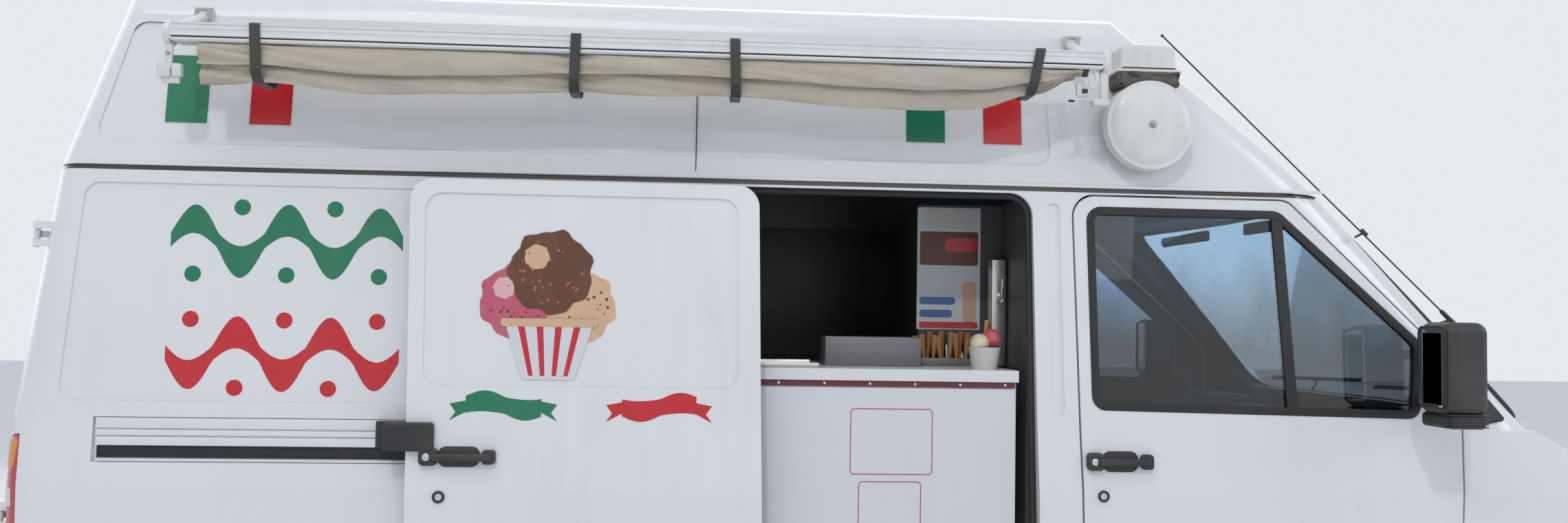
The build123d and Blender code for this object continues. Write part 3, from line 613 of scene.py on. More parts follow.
exhaustSteel = makeFinish("agedExhaustSteel", "exhaust_steel", (0.30, 0.28, 0.26), (0.24, 0.13, 0.07),
    0.9, 6, 200, 0.4, 0.7, metallic=0.8, bump=0.4, bumpDepth=0.0008)
brightSteel = makeFinish("brushedSteel", "rail_aluminium", (0.62, 0.62, 0.61), (0.35, 0.34, 0.32),
    0.25, 6, 800, 0.22, 0.4, metallic=1.0, bump=0.15)
greySteel = makeFinish("greySheetSteel", "black_plastic", (0.20, 0.20, 0.205), (0.30, 0.29, 0.28),
    0.3, 8, 700, 0.35, 0.5, metallic=0.3, bump=0.15)
railPaint = makeRibbed("groovedAwningRail", "rail_aluminium", "Z", 60, 0.0004, (0.74, 0.75, 0.75),
    (0.34, 0.33, 0.30), 0.4, 4, 500, 0.3, 0.45, coat=0.15)
capPlastic = makeFinish("whiteCapPlastic", "rail_aluminium", (0.70, 0.70, 0.69), (0.35, 0.33, 0.30),
    0.3, 12, 600, 0.35, 0.55)
counterWhite = makeFinish("counterLaminate", "counter_white", (0.72, 0.73, 0.74), (0.45, 0.43, 0.40),
    0.2, 6, 500, 0.3, 0.45)
boardWhite = makeFinish("whiteBoardSheet", "counter_white", (0.68, 0.69, 0.71), (0.50, 0.49, 0.48),
    0.25, 5, 250, 0.35, 0.55)
darkRed = makeFinish("darkRedStrip", "lamp_red", (0.13, 0.018, 0.020), (0.22, 0.12, 0.10),
    0.25, 9, 300, 0.35, 0.55)
frameRed = makeFinish("redBoardLine", "lamp_red", (0.50, 0.10, 0.12), (0.30, 0.27, 0.23),
    0.1, 9, 300, 0.4, 0.6)
filmGreen = makeFinish("greenFilm", "body_paint", (0.004, 0.175, 0.085), (0.10, 0.26, 0.17),
    0.35, 5, 900, 0.28, 0.42, coat=0.25)
filmRed = makeFinish("redFilm", "body_paint", (0.56, 0.012, 0.022), (0.62, 0.10, 0.10),
    0.35, 5, 900, 0.28, 0.42, coat=0.25)
bellPaint = makeFinish("agedWhiteBellPaint", "bell_paint", (0.74, 0.735, 0.72), (0.36, 0.33, 0.29),
    0.4, 9, 500, 0.3, 0.5, coat=0.1)
dashPlastic = makeFinish("grainedDashPlastic", "dash_plastic", (0.045, 0.046, 0.05), (0.16, 0.15, 0.14),
    0.25, 3, 1100, 0.45, 0.65, bump=0.4)
floorMat = makeFinish("ribbedRubberFloor", "black_plastic", (0.030, 0.030, 0.031), (0.14, 0.13, 0.11),
    0.5, 4, 120, 0.55, 0.8, bump=0.5, bumpDepth=0.001)
innerPanel = makeFinish("greyInnerPanel", "inner_panel", (0.075, 0.074, 0.072), (0.14, 0.13, 0.12),
    0.3, 3, 350, 0.45, 0.65)
# White freezer enamel in mid grey, far darker than the counter: painted shade of the dim hatch
freezerInShade = makeFinish("freezerEnamelShaded", "counter_white", (0.30, 0.31, 0.32), (0.20, 0.19, 0.18),
    0.25, 4, 300, 0.3, 0.45)
tailRed = makeRibbed("ribbedRedLamp", "lamp_red", "Z", 90, 0.0006, (0.48, 0.012, 0.014), (0.30, 0.27, 0.23),
    0.1, 3, 300, 0.1, 0.2, coat=0.5)
amberLamp = makeRibbed("ribbedAmberLamp", "lamp_red", "Y", 90, 0.0005, (0.75, 0.25, 0.02),
    (0.30, 0.27, 0.23), 0.1, 3, 300, 0.1, 0.2, coat=0.5)
mirrorGlass = makeFinish("mirrorGlass", "rail_aluminium", (0.85, 0.87, 0.88), (0.30, 0.27, 0.23),
    0.05, 3, 300, 0.01, 0.05, metallic=1.0, bump=0.0)
# The first colour is painted fold shading: lighter on the strap and the seat, darker painted shade on the
# awning
strapWeb = makeWoven("blackStrapWeb", "black_plastic", 1400, ("X", "Z"), (0.03, 0.03, 0.03),
    (0.07, 0.07, 0.07), (0.018, 0.018, 0.019), (0.30, 0.27, 0.23), 0.2, 3, 300, 0.5, 0.75)
awningFabric = makeWoven("beigeAwningCanvas", "awning_fabric", 1100, ("X", "Z"), (0.43, 0.375, 0.295),
    (0.63, 0.575, 0.485), (0.53, 0.475, 0.385), (0.30, 0.26, 0.20), 0.35, 5, 300, 0.65, 0.9)
seatFabric = makeWoven("greySeatWeave", "seat_cloth", 500, ("X", "Y"), (0.085, 0.088, 0.098),
    (0.20, 0.21, 0.24), (0.060, 0.064, 0.074), (0.13, 0.12, 0.11), 0.3, 3, 300, 0.7, 0.95, sheen=0.3)
darkSealant = makeFinish("darkSealant", "black_plastic", (0.035, 0.024, 0.018), (0.12, 0.09, 0.07),
    0.3, 9, 300, 0.5, 0.8)
filmCocoa = makeFinish("cocoaFilm", "body_paint", (0.115, 0.040, 0.018), (0.24, 0.12, 0.07),
    0.5, 22, 900, 0.3, 0.45)
filmBerry = makeFinish("berryFilm", "body_paint", (0.52, 0.090, 0.150), (0.66, 0.26, 0.30),
    0.5, 22, 900, 0.3, 0.45)
filmPeach = makeFinish("peachFilm", "body_paint", (0.66, 0.42, 0.26), (0.72, 0.56, 0.42),
    0.5, 22, 900, 0.3, 0.45)
filmRose = makeFinish("roseFilm", "body_paint", (0.74, 0.42, 0.44), (0.78, 0.60, 0.58),
    0.4, 22, 900, 0.3, 0.45)
filmBlue = makeFinish("blueFilm", "body_paint", (0.045, 0.15, 0.36), (0.16, 0.27, 0.45),
    0.4, 20, 900, 0.3, 0.45)
paperSheet = makeFinish("paperSheet", "counter_white", (0.66, 0.65, 0.62), (0.48, 0.44, 0.38),
    0.3, 14, 1200, 0.6, 0.85)
wafer = makeFinish("waferCrust", "awning_fabric", (0.46, 0.24, 0.085), (0.30, 0.13, 0.045),
    0.7, 40, 900, 0.55, 0.8, bump=0.6)
vanillaIce = makeFinish("vanillaIce", "counter_white", (0.72, 0.64, 0.44), (0.78, 0.74, 0.62),
    0.6, 45, 500, 0.35, 0.6, bump=0.6, bumpDepth=0.001)
berryIce = makeFinish("berryIce", "counter_white", (0.60, 0.10, 0.12), (0.74, 0.30, 0.30),
    0.6, 45, 500, 0.35, 0.6, bump=0.6, bumpDepth=0.001)
agedGasket = makeFinish("agedGasket", "black_plastic", (0.075, 0.066, 0.060), (0.22, 0.19, 0.17),
    0.8, 30, 500, 0.5, 0.85, bump=0.5)
agedSteel = makeFinish("agedSteel", "rail_aluminium", (0.42, 0.41, 0.39), (0.20, 0.13, 0.09),
    0.7, 30, 600, 0.3, 0.55, metallic=0.9, bump=0.3)
radiatorMesh = makeRibbed("radiatorMesh", "black_plastic", "Z", 220, 0.0012, (0.030, 0.031, 0.033),
    (0.14, 0.12, 0.10), 0.4, 8, 300, 0.4, 0.65, metallic=0.4)
print("materials made")


# Finishes of the CAD bodies

nodeFinish = {
    "wheel_liners": blackTrim, "chassis_rails": chassisPaint, "front_bumper": blackTrim,
    "rear_bumper": blackTrim, "headlamps": lampGlass, "windscreen": screenGlass,
    "door_glass_left": windowGlass, "door_glass_right": windowGlass, "mirror_left": blackTrim,
    "mirror_right": blackTrim, "slide_carriage": blackTrim, "tail_lamps": tailRed,
    "knuckle_left": castIron, "knuckle_right": castIron, "front_suspension": chassisPaint,
    "rear_axle": chassisPaint, "engine": castIron, "exhaust": exhaustSteel, "fuel_tank": chassisPaint,
    "dashboard": dashPlastic, "steering_wheel": dashPlastic, "seats": seatFabric,
    "bulkhead": innerPanel, "serving_counter": counterWhite, "freezer": freezerInShade,
    "awning_rail": railPaint, "awning_cloth": awningFabric, "bell": bellPaint, "floor_pan": floorMat,
}


def dressNodes():
    for name, node in nodes.items():
        if name.startswith("tyre"):
            finish = tyreRubber
        elif name.startswith("rim"):
            finish = rimPaint
        else:
            finish = nodeFinish.get(name, paint)
        node.data.materials.clear()
        node.data.materials.append(finish)


# Fitting pieces to the CAD bodies

def nodeBox(name):
    points = [vertex.co for vertex in nodes[name].data.vertices]
    low = Vector([min(p[i] for p in points) for i in range(3)])
    high = Vector([max(p[i] for p in points) for i in range(3)])
    return low, high


def surfaceOf(*names):
    places, faces = [], []
    for name in names:
        mesh = nodes[name].data
        start = len(places)
        places += [vertex.co.copy() for vertex in mesh.vertices]
        faces += [[start + i for i in polygon.vertices] for polygon in mesh.polygons]
    return BVHTree.FromPolygons(places, faces)


# Where a ray along X, sent in from the nose (end 1) or the tail (end -1), meets a surface
def endFace(surface, across, z, end):
    hit = surface.ray_cast(Vector((5 * end, across, z)), Vector((-end, 0, 0)))[0]
    return None if hit is None else hit.x


# Lays a piece drawn as (y, outward, z) on the nose or the tail
def layOnEnd(piece, surface, end, base=0.0, step=0.12):
    reach = [vertex.co.x for vertex in piece.data.vertices]
    count = int((max(reach) - min(reach)) / step)
    for index in range(1, count + 1):
        cutAt(piece, (min(reach) + index * (max(reach) - min(reach)) / (count + 1), 0, 0), (1, 0, 0))
    for vertex in piece.data.vertices:
        across, depth, z = vertex.co
        x = endFace(surface, across, z, end)
        vertex.co = (x + end * (base + depth), across, z)
    return turnOutward(piece)


def screenPath(surface, ends, lift, count=14):
    path = []
    for index in range(count + 1):
        share = index / count
        across = ends[0][0] + (ends[1][0] - ends[0][0]) * share
        z = ends[0][1] + (ends[1][1] - ends[0][1]) * share
        path.append((endFace(surface, across, z, 1) + lift, across, z + lift * 0.8))
    return path


def endPlate(name, loops, depth, bevel, base, material, body, surface):
    return finishPiece(layOnEnd(addFlat(loops, depth, bevel), surface, -1, base), name, material, body)


def layPlate(name, loops, depth, material, side=-1, base=0.0, bevel=0.0, body="van_body", surface=None):
    piece = layOnSide(addFlat(loops, depth, bevel), side, base, surface)
    return finishPiece(piece, name, material, body)


def sideName(side):
    return "Right" if side < 0 else "Left"


def doorBody(side):
    return "front_door_right" if side < 0 else "front_door_left"


# A profile of (y, z) loops drawn out along X
def addExtrusion(loops, xLow, xHigh, bevel=0.0):
    piece = addFlat(loops, xHigh - xLow, bevel)
    piece.rotation_euler = (0, 0, pi / 2)
    piece.location = (xHigh, 0, 0)
    return turnOutward(applyPlace(piece))


def scatter(seed):
    return random.Random(seed)


# Roof seam, door rail and openings

seams = SimpleNamespace(
    lipX=(-2.50, 1.02), lipZ=(1.9145, 1.9225), lipCorner=0.003,
    lipDepth=0.006, lipBase=-0.001, lipBevel=0.0015,
    jointX=-0.815, jointZ=(1.935, 2.30), jointWidth=0.003, jointDepth=0.0012, jointBase=-0.0004,
)


def addRoofSeams():
    lip = rectangle(seams.lipX, seams.lipZ, seams.lipCorner)
    half = seams.jointWidth / 2
    joint = rectangle((seams.jointX - half, seams.jointX + half), seams.jointZ)
    for side in (-1, 1):
        name = sideName(side)
        layPlate(f"gutterLip{name}", [lip], seams.lipDepth, plainPaint, side, seams.lipBase, seams.lipBevel)
        layPlate(f"roofJoint{name}", [joint], seams.jointDepth, darkSealant, side, seams.jointBase)


# Bars as (height range, distance out, edge)
doorRail = SimpleNamespace(
    x=(-2.402, -0.838), floorY=-0.9485,
    bars=(((1.157, 1.180), 0.012, 0.0018), ((1.184, 1.199), 0.012, 0.0018), ((1.203, 1.231), 0.012, 0.0018),
             ((1.114, 1.122), 0.012, 0.0018), ((1.157, 1.231), 0.006, 0)),
    # The slot is a black strip of painted shade under the bars
    slot=((1.124, 1.155), 0.003, 0.001),
    cover=((-1.628, -1.494), (1.158, 1.234)), coverCorner=0.010,
    coverDepth=0.020, coverBase=0.0805, coverBevel=0.005,
)


def railBar(heights, out, edge):
    (xLow, xHigh), floorY = doorRail.x, doorRail.floorY
    return addBlock((xLow, floorY - out, heights[0]), (xHigh, floorY, heights[1]), edge)


def addDoorRail():
    finishPiece(joinPieces([railBar(*bar) for bar in doorRail.bars]), "slidingDoorRail", plainPaint)
    # The black strip in the rail's slot is painted shade of the gap
    finishPiece(railBar(*doorRail.slot), "slidingDoorRailSlotShade", rubber)
    cover = rectangle(*doorRail.cover, doorRail.coverCorner)
    layPlate("slideCarriageCover", [cover], doorRail.coverDepth, blackTrim,
             base=doorRail.coverBase, bevel=doorRail.coverBevel)


openingSeal = SimpleNamespace(
    corners=((-0.774, 0.425), (-0.802, 1.888), (0.141, 1.888), (0.175, 0.425)),
    radius=0.06, thick=0.010, inset=0.022, inward=0.002,
)


def addOpeningSeal():
    outline = roundCorners(openingSeal.corners, (openingSeal.radius,) * 4, 8)
    outline = growOutline(outline, -openingSeal.inward)
    path = [(x, -(sideY(x, z) - openingSeal.inset), z) for x, z in outline]
    finishPiece(addPipe(path, openingSeal.thick, closed=True, sides=3), "servingHatchSeal", rubber)


doorWindow = SimpleNamespace(
    corners=((0.334, 1.292), (0.318, 1.848), (0.874, 1.848), (1.300, 1.476), (1.288, 1.276)),
    radii=(0.03, 0.03, 0.04, 0.04, 0.025), outside=0.013, inside=0.011, depth=0.011, bevel=0.002,
    divider=((0.857, 1.850), (0.889, 1.850), (0.932, 1.272), (0.900, 1.272)),
    dividerDepth=0.010, dividerBevel=0.001, base=-0.0085,
    quarter=((1.478, 1.359), (1.563, 1.262), (1.456, 1.241)), quarterRadii=(0.010, 0.008, 0.010),
    quarterDepth=0.005, quarterBase=-0.0005, quarterBevel=0.0015,
)


def addDoorWindowSeals():
    outline = roundCorners(doorWindow.corners, doorWindow.radii, 8)
    ring = [growOutline(outline, doorWindow.outside), growOutline(outline, -doorWindow.inside)]
    quarter = roundCorners(doorWindow.quarter, doorWindow.quarterRadii)
    for side in (-1, 1):
        name = sideName(side)
        for part, loops, depth, bevel in (
                ("Seal", ring, doorWindow.depth, doorWindow.bevel),
                ("Divider", [doorWindow.divider], doorWindow.dividerDepth, doorWindow.dividerBevel)):
            layPlate(f"doorWindow{part}{name}", loops, depth, rubber, side, doorWindow.base, bevel,
                doorBody(side))
        layPlate(f"quarterPanel{name}", [quarter], doorWindow.quarterDepth, blackTrim, side,
                 doorWindow.quarterBase, doorWindow.quarterBevel)


# Handles and locks

# Each plate starts and ends at one of the box's edges in x (0 or 1) with a shift, and is taller than the
# box by a
# little; then come its corner radius, depth and bevel
handles = SimpleNamespace(
    plates=(((0, 0.048), (1, -0.042), 0.004, 0.022, 0.006, 0.0015),
               ((0, 0), (0, 0.050), 0, 0.014, 0.020, 0.004),
               ((1, -0.036), (1, 0), -0.004, 0.010, 0.020, 0.004)),
    plateBase=-0.001, gripInsets=(0.030, -0.010), gripHeight=0.020, gripCorner=0.009,
    gripDepth=0.014, gripBevel=0.0045, gripBase=0.016,
    keyInset=0.021, keyRadius=0.010, keyDepth=0.0035, keyBevel=0.001, keyBase=0.0185,
    lockRing=(0.0165, 0.0095), ringDepth=0.007, ringBevel=0.002,
    lockRadius=0.0097, lockDepth=0.005, lockBevel=0.001, lockBase=-0.001, slidingBase=0.08,
    frontDoor=((0.301, 0.494), (1.111, 1.161)), slidingDoor=((-1.531, -1.330), (1.121, 1.167)),
    frontLock=(0.351, 1.039), slidingLock=(-1.477, 1.038),
)


def addHandle(name, box, side, base, body):
    xs, (zLow, zHigh) = box
    middle = (zLow + zHigh) / 2
    parts = []
    for (start, startShift), (end, endShift), taller, corner, depth, bevel in handles.plates:
        plate = rectangle((xs[start] + startShift, xs[end] + endShift), (zLow - taller, zHigh + taller),
            corner)
        parts.append(layOnSide(addFlat([plate], depth, bevel), side, base + handles.plateBase))
    half = handles.gripHeight / 2
    gripX = [x + inset for x, inset in zip(xs, handles.gripInsets)]
    grip = rectangle(gripX, (middle - half, middle + half), handles.gripCorner)
    parts.append(layOnSide(addFlat([grip], handles.gripDepth, handles.gripBevel), side,
                           base + handles.gripBase))
    finishPiece(parts, name, blackTrim, body)
    key = disc(xs[0] + handles.keyInset, middle, handles.keyRadius)
    layPlate(f"{name}Key", [key], handles.keyDepth, brightSteel, side, base + handles.keyBase,
             handles.keyBevel, body)


def addLock(name, place, side, base, body):
    base += handles.lockBase
    ring = [disc(*place, radius) for radius in handles.lockRing]
    layPlate(f"{name}Ring", ring, handles.ringDepth, blackTrim, side, base, handles.ringBevel, body)
    layPlate(name, [disc(*place, handles.lockRadius)], handles.lockDepth, brightSteel, side, base,
             handles.lockBevel, body)


def addHandles():
    for side in (-1, 1):
        name = sideName(side)
        addHandle(f"frontDoorHandle{name}", handles.frontDoor, side, 0.0, doorBody(side))
        addLock(f"frontDoorLock{name}", handles.frontLock, side, 0.0, doorBody(side))
    addHandle("slidingDoorHandle", handles.slidingDoor, -1, handles.slidingBase, "van_body")
    addLock("slidingDoorLock", handles.slidingLock, -1, handles.slidingBase, "van_body")


# Coloured film on the side

film = SimpleNamespace(
    depth=0.0007, lift=-0.0002, layer=0.0004,
    flagWidth=0.112, flagZ=(2.035, 2.225), flagCorner=0.002, flagBorder=0.004,
    flags=((-2.215, "green"), (-1.990, "red"), (-0.160, "green"), (0.064, "red")),
    waveX=(-2.235, -1.615), waves=((1.712, "green", 2.5, 0.0), (1.405, "red", 2.5, pi)),
    dots=5, dotStart=0.062, dotStep=0.124, dotShift=0.092, dotRadius=0.022,
)


filmColours = {"green": filmGreen, "red": filmRed}


# A ribbon that swells at its crests and thins towards both ends
def waveOutline(xLow, xHigh, middle, turns, phase, height=0.058, thick=(0.020, 0.044), steps=72):
    upper, lower = [], []
    for step in range(steps + 1):
        t = step / steps
        angle = 2 * pi * turns * t + phase
        half = thick[0] + (thick[1] - thick[0]) * abs(sin(angle)) * (1 - 0.4 * abs(2 * t - 1) ** 3)
        z = middle + height * sin(angle)
        x = xLow + (xHigh - xLow) * t
        upper.append((x, z + half))
        lower.append((x, z - half))
    return upper + lower[::-1]


# Thin coloured film stuck on the right side, following its pressed panels
def layFilm(name, loops, finish, surface, layer=0):
    return layPlate(name, loops, film.depth, finish, base=film.lift + film.layer * layer, surface=surface)


def addFlags():
    roof = surfaceOf("high_roof")
    half = film.flagWidth / 2
    for index, (x, colour) in enumerate(film.flags):
        flag = rectangle((x - half, x + half), film.flagZ, film.flagCorner)
        layFilm(f"flagBorder{index}", [growOutline(flag, film.flagBorder)], boardWhite, roof)
        layFilm(f"flagField{index}", [flag], filmColours[colour], roof, 1)


def addFilm():
    addFlags()
    panel = surfaceOf("side_panel_right")
    for middle, colour, turns, phase in film.waves:
        ribbon = waveOutline(*film.waveX, middle, turns, phase)
        layFilm(f"{colour}WaveFilm", [ribbon], filmColours[colour], panel)
        dots = []
        for count in range(film.dots):
            x = film.waveX[0] + film.dotStart + film.dotStep * count
            above = (count + (phase > 0)) % 2
            dots.append(disc(x, middle + (film.dotShift if above else -film.dotShift), film.dotRadius))
        layFilm(f"{colour}WaveDots", dots, filmColours[colour], panel)


doorArt = SimpleNamespace(
    scoops=((-1.125, 1.548, 0.100, 9, "peach"), (-1.290, 1.560, 0.098, 5, "berry"),
               (-1.200, 1.640, 0.112, 3, "cocoa")),
    finishes={"cocoa": (filmCocoa, filmPeach, filmBerry), "berry": (filmBerry, filmRose, filmCocoa),
                 "peach": (filmPeach, filmRose, filmCocoa)},
    gleamShift=(-0.34, 0.36), gleamShare=0.30, gleamSteps=24,
    chips=26, chipReach=(0.15, 0.82), chipSpread=0.9, chipRadius=(0.0022, 0.0045), chipSides=8,
    cup=((-1.318, 1.500), (-1.082, 1.500), (-1.130, 1.350), (-1.270, 1.350)), cupCorner=0.012,
    rim=((-1.330, -1.070), (1.492, 1.514)), rimCorner=0.009,
    middle=-1.2, stripes=(-0.075, -0.025, 0.025, 0.075), stripeLean=0.62,
    stripeZ=(1.360, 1.494), stripeHalf=(0.006, 0.009),
    ribbons=(((-1.415, -1.215), "green", 0.2), ((-1.000, -0.800), "red", pi + 0.2)),
    ribbonZ=1.280, ribbonTurns=0.9, ribbonHeight=0.012, ribbonThick=(0.022, 0.028), ribbonSteps=30,
    fork=((0, 1.262), (0.042, 1.240), (0.026, 1.262), (0.042, 1.284), (0, 1.292)),
)


def lumpyDisc(x, z, radius, seed, steps=48):
    shift = seed * 1.7
    points = []
    for angle in (2 * pi * i / steps for i in range(steps)):
        reach = radius * (1 + 0.05 * sin(7 * angle + shift) + 0.03 * sin(13 * angle + 2 * shift))
        points.append((x + reach * cos(angle), z + reach * sin(angle)))
    return points


def addArtScoops(door):
    draw = scatter(11)
    shiftX, shiftZ = doorArt.gleamShift
    for layer, (x, z, radius, seed, colour) in enumerate(doorArt.scoops):
        main, light, chip = doorArt.finishes[colour]
        layFilm(f"{colour}Scoop", [lumpyDisc(x, z, radius, seed)], main, door, 2 * layer)
        gleam = lumpyDisc(x + radius * shiftX, z + radius * shiftZ, radius * doorArt.gleamShare, seed + 2,
                          doorArt.gleamSteps)
        layFilm(f"{colour}Gleam", [gleam], light, door, 2 * layer + 1)
        chips = []
        for _ in range(doorArt.chips):
            angle = draw.uniform(0, 2 * pi)
            reach = radius * draw.uniform(*doorArt.chipReach) ** 0.6 * doorArt.chipSpread
            size = draw.uniform(*doorArt.chipRadius)
            chips.append(disc(x + reach * cos(angle), z + reach * sin(angle), size, doorArt.chipSides))
        layFilm(f"{colour}Chips", chips, chip, door, 2 * layer + 1)


def addArtCup(door):
    layFilm("cupFilm", [roundCorners(doorArt.cup, (doorArt.cupCorner,) * 4)], boardWhite, door, 6)
    stripes = []
    (zLow, zHigh), (halfLow, halfHigh) = doorArt.stripeZ, doorArt.stripeHalf
    for offset in doorArt.stripes:
        low, high = doorArt.middle + offset * doorArt.stripeLean, doorArt.middle + offset
        stripes.append([(low - halfLow, zLow), (low + halfLow, zLow), (high + halfHigh, zHigh),
            (high - halfHigh, zHigh)])
    layFilm("cupStripes", stripes, filmRed, door, 7)
    layFilm("cupRimFilm", [rectangle(*doorArt.rim, doorArt.rimCorner)], filmPeach, door, 8)


def addArtRibbons(door):
    for xs, colour, phase in doorArt.ribbons:
        ribbon = waveOutline(*xs, doorArt.ribbonZ, doorArt.ribbonTurns, phase, doorArt.ribbonHeight,
                             doorArt.ribbonThick, doorArt.ribbonSteps)
        layFilm(f"{colour}Ribbon", [ribbon], filmColours[colour], door)
        for end, tail, label in zip(xs, (-1, 1), ("Rear", "Front")):
            fork = [(end + tail * out, z) for out, z in doorArt.fork]
            layFilm(f"{colour}Fork{label}", [fork], filmColours[colour], door, 1)


def addDoorArt():
    door = surfaceOf("sliding_door")
    addArtScoops(door)
    addArtCup(door)
    addArtRibbons(door)


# Serving hatch: counter, board and ware

# Plates as (name, height range, corner, depth, finish, bevel)
hatch = SimpleNamespace(
    boardX=(-0.730, 0.104), boardY=-0.9255, counterTop=1.387, posterY=-0.5605,
    plates=(("priceBoardBlank", (0.62, 1.334), 0.004, 0.003, boardWhite, 0.0008),
               ("counterStrip", (1.337, 1.3535), 0.002, 0.005, darkRed, 0.001)),
    frames=(((-0.367, -0.132), (1.090, 1.276)), ((-0.342, -0.163), (0.830, 1.072))),
    frameCorner=0.012, lineWidth=0.0028, lineDepth=0.0008, lineLift=0.0036,
    screws=7, screwInset=0.03, screwZ=1.3453, screwLift=(0.008, 0.004), screwRadius=0.004,
)


def uprightPlate(name, loops, y, depth, material, bevel=0.0):
    piece = addFlat(loops, depth, bevel)
    piece.location = (0, y - depth, 0)
    return finishPiece(piece, name, material)


def addBoard():
    y = hatch.boardY
    for name, heights, corner, depth, finish, bevel in hatch.plates:
        uprightPlate(name, [rectangle(hatch.boardX, heights, corner)], y, depth, finish, bevel)
    lines = []
    for box in hatch.frames:
        outline = rectangle(*box, hatch.frameCorner)
        lines.append(addFlat([outline, growOutline(outline, -hatch.lineWidth)], hatch.lineDepth))
    piece = joinPieces(lines)
    piece.location = (0, y - hatch.lineLift, 0)
    finishPiece(piece, "boardFrameLines", frameRed)
    low, high = hatch.boardX[0] + hatch.screwInset, hatch.boardX[1] - hatch.screwInset
    z = hatch.screwZ
    heads = []
    for index in range(hatch.screws):
        x = low + index * (high - low) / (hatch.screws - 1)
        outer, inner = [(x, y - lift, z) for lift in hatch.screwLift]
        heads.append(addRod(outer, inner, hatch.screwRadius, 12, bevel=0.001))
    finishPiece(heads, "counterStripScrews", brightSteel)


# Plain shapes of the poster as (name, finish, box, corner, distance out, depth)
posterShapes = (
    ("posterSheet", boardWhite, ((-0.116, 0.085), (1.498, 1.882)), 0.003, 0, 0.0012),
    ("posterBrown", filmCocoa, ((-0.108, 0.078), (1.700, 1.806)), 0.008, 0.0012, 0.0006),
    ("posterRed", filmRed, ((-0.030, 0.078), (1.742, 1.786)), 0.020, 0.0012, 0.0010),
    ("posterBlueUpper", filmBlue, ((-0.108, 0.006), (1.576, 1.600)), 0.010, 0.0012, 0.0006),
    ("posterBlueLower", filmBlue, ((-0.108, -0.004), (1.536, 1.560)), 0.010, 0.0012, 0.0006),
    ("posterGlass", filmPeach, ((0.030, 0.072), (1.520, 1.650)), 0.014, 0.0012, 0.0006),
    ("posterFoot", filmRed, ((-0.108, 0.078), (1.502, 1.522)), 0.006, 0.0012, 0.0006),
    ("pinnedPaper", paperSheet, ((-0.085, 0.072), (1.815, 1.878)), 0.002, 0.0014, 0.0008),
)


def addPoster():
    for name, finish, box, corner, out, depth in posterShapes:
        uprightPlate(name, [rectangle(*box, corner)], hatch.posterY - out, depth, finish)


def hollowTop(piece, wall, depth):
    pick(piece)
    bpy.ops.object.mode_set(mode="EDIT")
    bpy.ops.mesh.select_mode(type="FACE")
    bpy.ops.mesh.select_all(action="DESELECT")
    bpy.ops.object.mode_set(mode="OBJECT")
    top = max(piece.data.polygons, key=lambda face: face.center.z * 10 + face.area)
    top.select = True
    bpy.ops.object.mode_set(mode="EDIT")
    bpy.ops.mesh.inset(thickness=wall)
    bpy.ops.mesh.extrude_region_move(TRANSFORM_OT_translate={"value": (0, 0, -depth)})
    bpy.ops.object.mode_set(mode="OBJECT")


# Heights count from the counter's top, and the tub's ware from the tub's place and its rim
ware = SimpleNamespace(
    lift=0.0002, edge=0.0012,
    boxes=(("servingBox", ((-0.422, -0.750), (-0.135, -0.590), 0.086), 0.004, greySteel),
              ("servingTray", ((-0.715, -0.900), (-0.455, -0.640), 0.014), 0.003, brightSteel),
              ("waferRack", ((-0.138, -0.650), (0.074, -0.570), 0.024), 0.003, greySteel)),
    cones=16, coneX=(-0.126, 0.062), coneY=-0.628, coneRow=0.030, coneFoot=0.006, coneShift=0.004,
    coneLean=(-0.012, 0.012), coneHeight=(0.088, 0.108), coneRadii=(0.004, 0.0115), coneSides=14,
    tub=(0.030, -0.860), tubHeight=0.064,
    tubProfile=((0, 0.002), (0.033, 0.002), (0.035, 0), (0.036, 0.004), (0.045, 0.060), (0.047, 0.062),
                   (0.0465, 0.064), (0.0435, 0.064), (0.042, 0.058), (0.034, 0.010), (0, 0.010)),
    scoops=(("vanillaScoop", (-0.016, -0.010, 0.012), 0.027, 1.3, vanillaIce),
               ("berryScoop", (0.022, 0.008, 0.024), 0.029, 7.7, berryIce)),
    wafer=((0.004, 0.016, 0), (0.012, 0.024, 0.078)), waferRadius=0.006,
    column=((0.098, -0.660), (0.146, -0.604), 0.333), columnEdge=0.006,
    taps=(((0, 0.22), (-0.05, 0.20), 0.009, 18, 0.002), ((-0.03, 0.21), (-0.045, 0.27), 0.005, 14, 0.001)),
)


def addOpenBox(name, box, wall, material):
    (xLow, yLow), (xHigh, yHigh), height = box
    top = hatch.counterTop
    piece = addBlock((xLow, yLow, top + ware.lift), (xHigh, yHigh, top + height), 0)
    hollowTop(piece, wall, height - wall)
    bevelEdges(piece, ware.edge, 2, 50)
    return finishPiece(piece, name, material)


def addScoop(name, centre, radius, seed, material):
    bpy.ops.mesh.primitive_ico_sphere_add(subdivisions=4, radius=radius, location=centre)
    piece = applyPlace(bpy.context.object)
    middle = Vector(centre)
    for vertex in piece.data.vertices:
        away = (vertex.co - middle).normalized()
        coarse = noise.noise(away * 3.1 + Vector((seed, 0, 0))) * 0.10
        fine = noise.noise(away * 11 + Vector((0, seed, 0))) * 0.035
        vertex.co = middle + away * radius * (1 + (coarse + fine))
    return finishPiece(piece, name, material, angle=70)


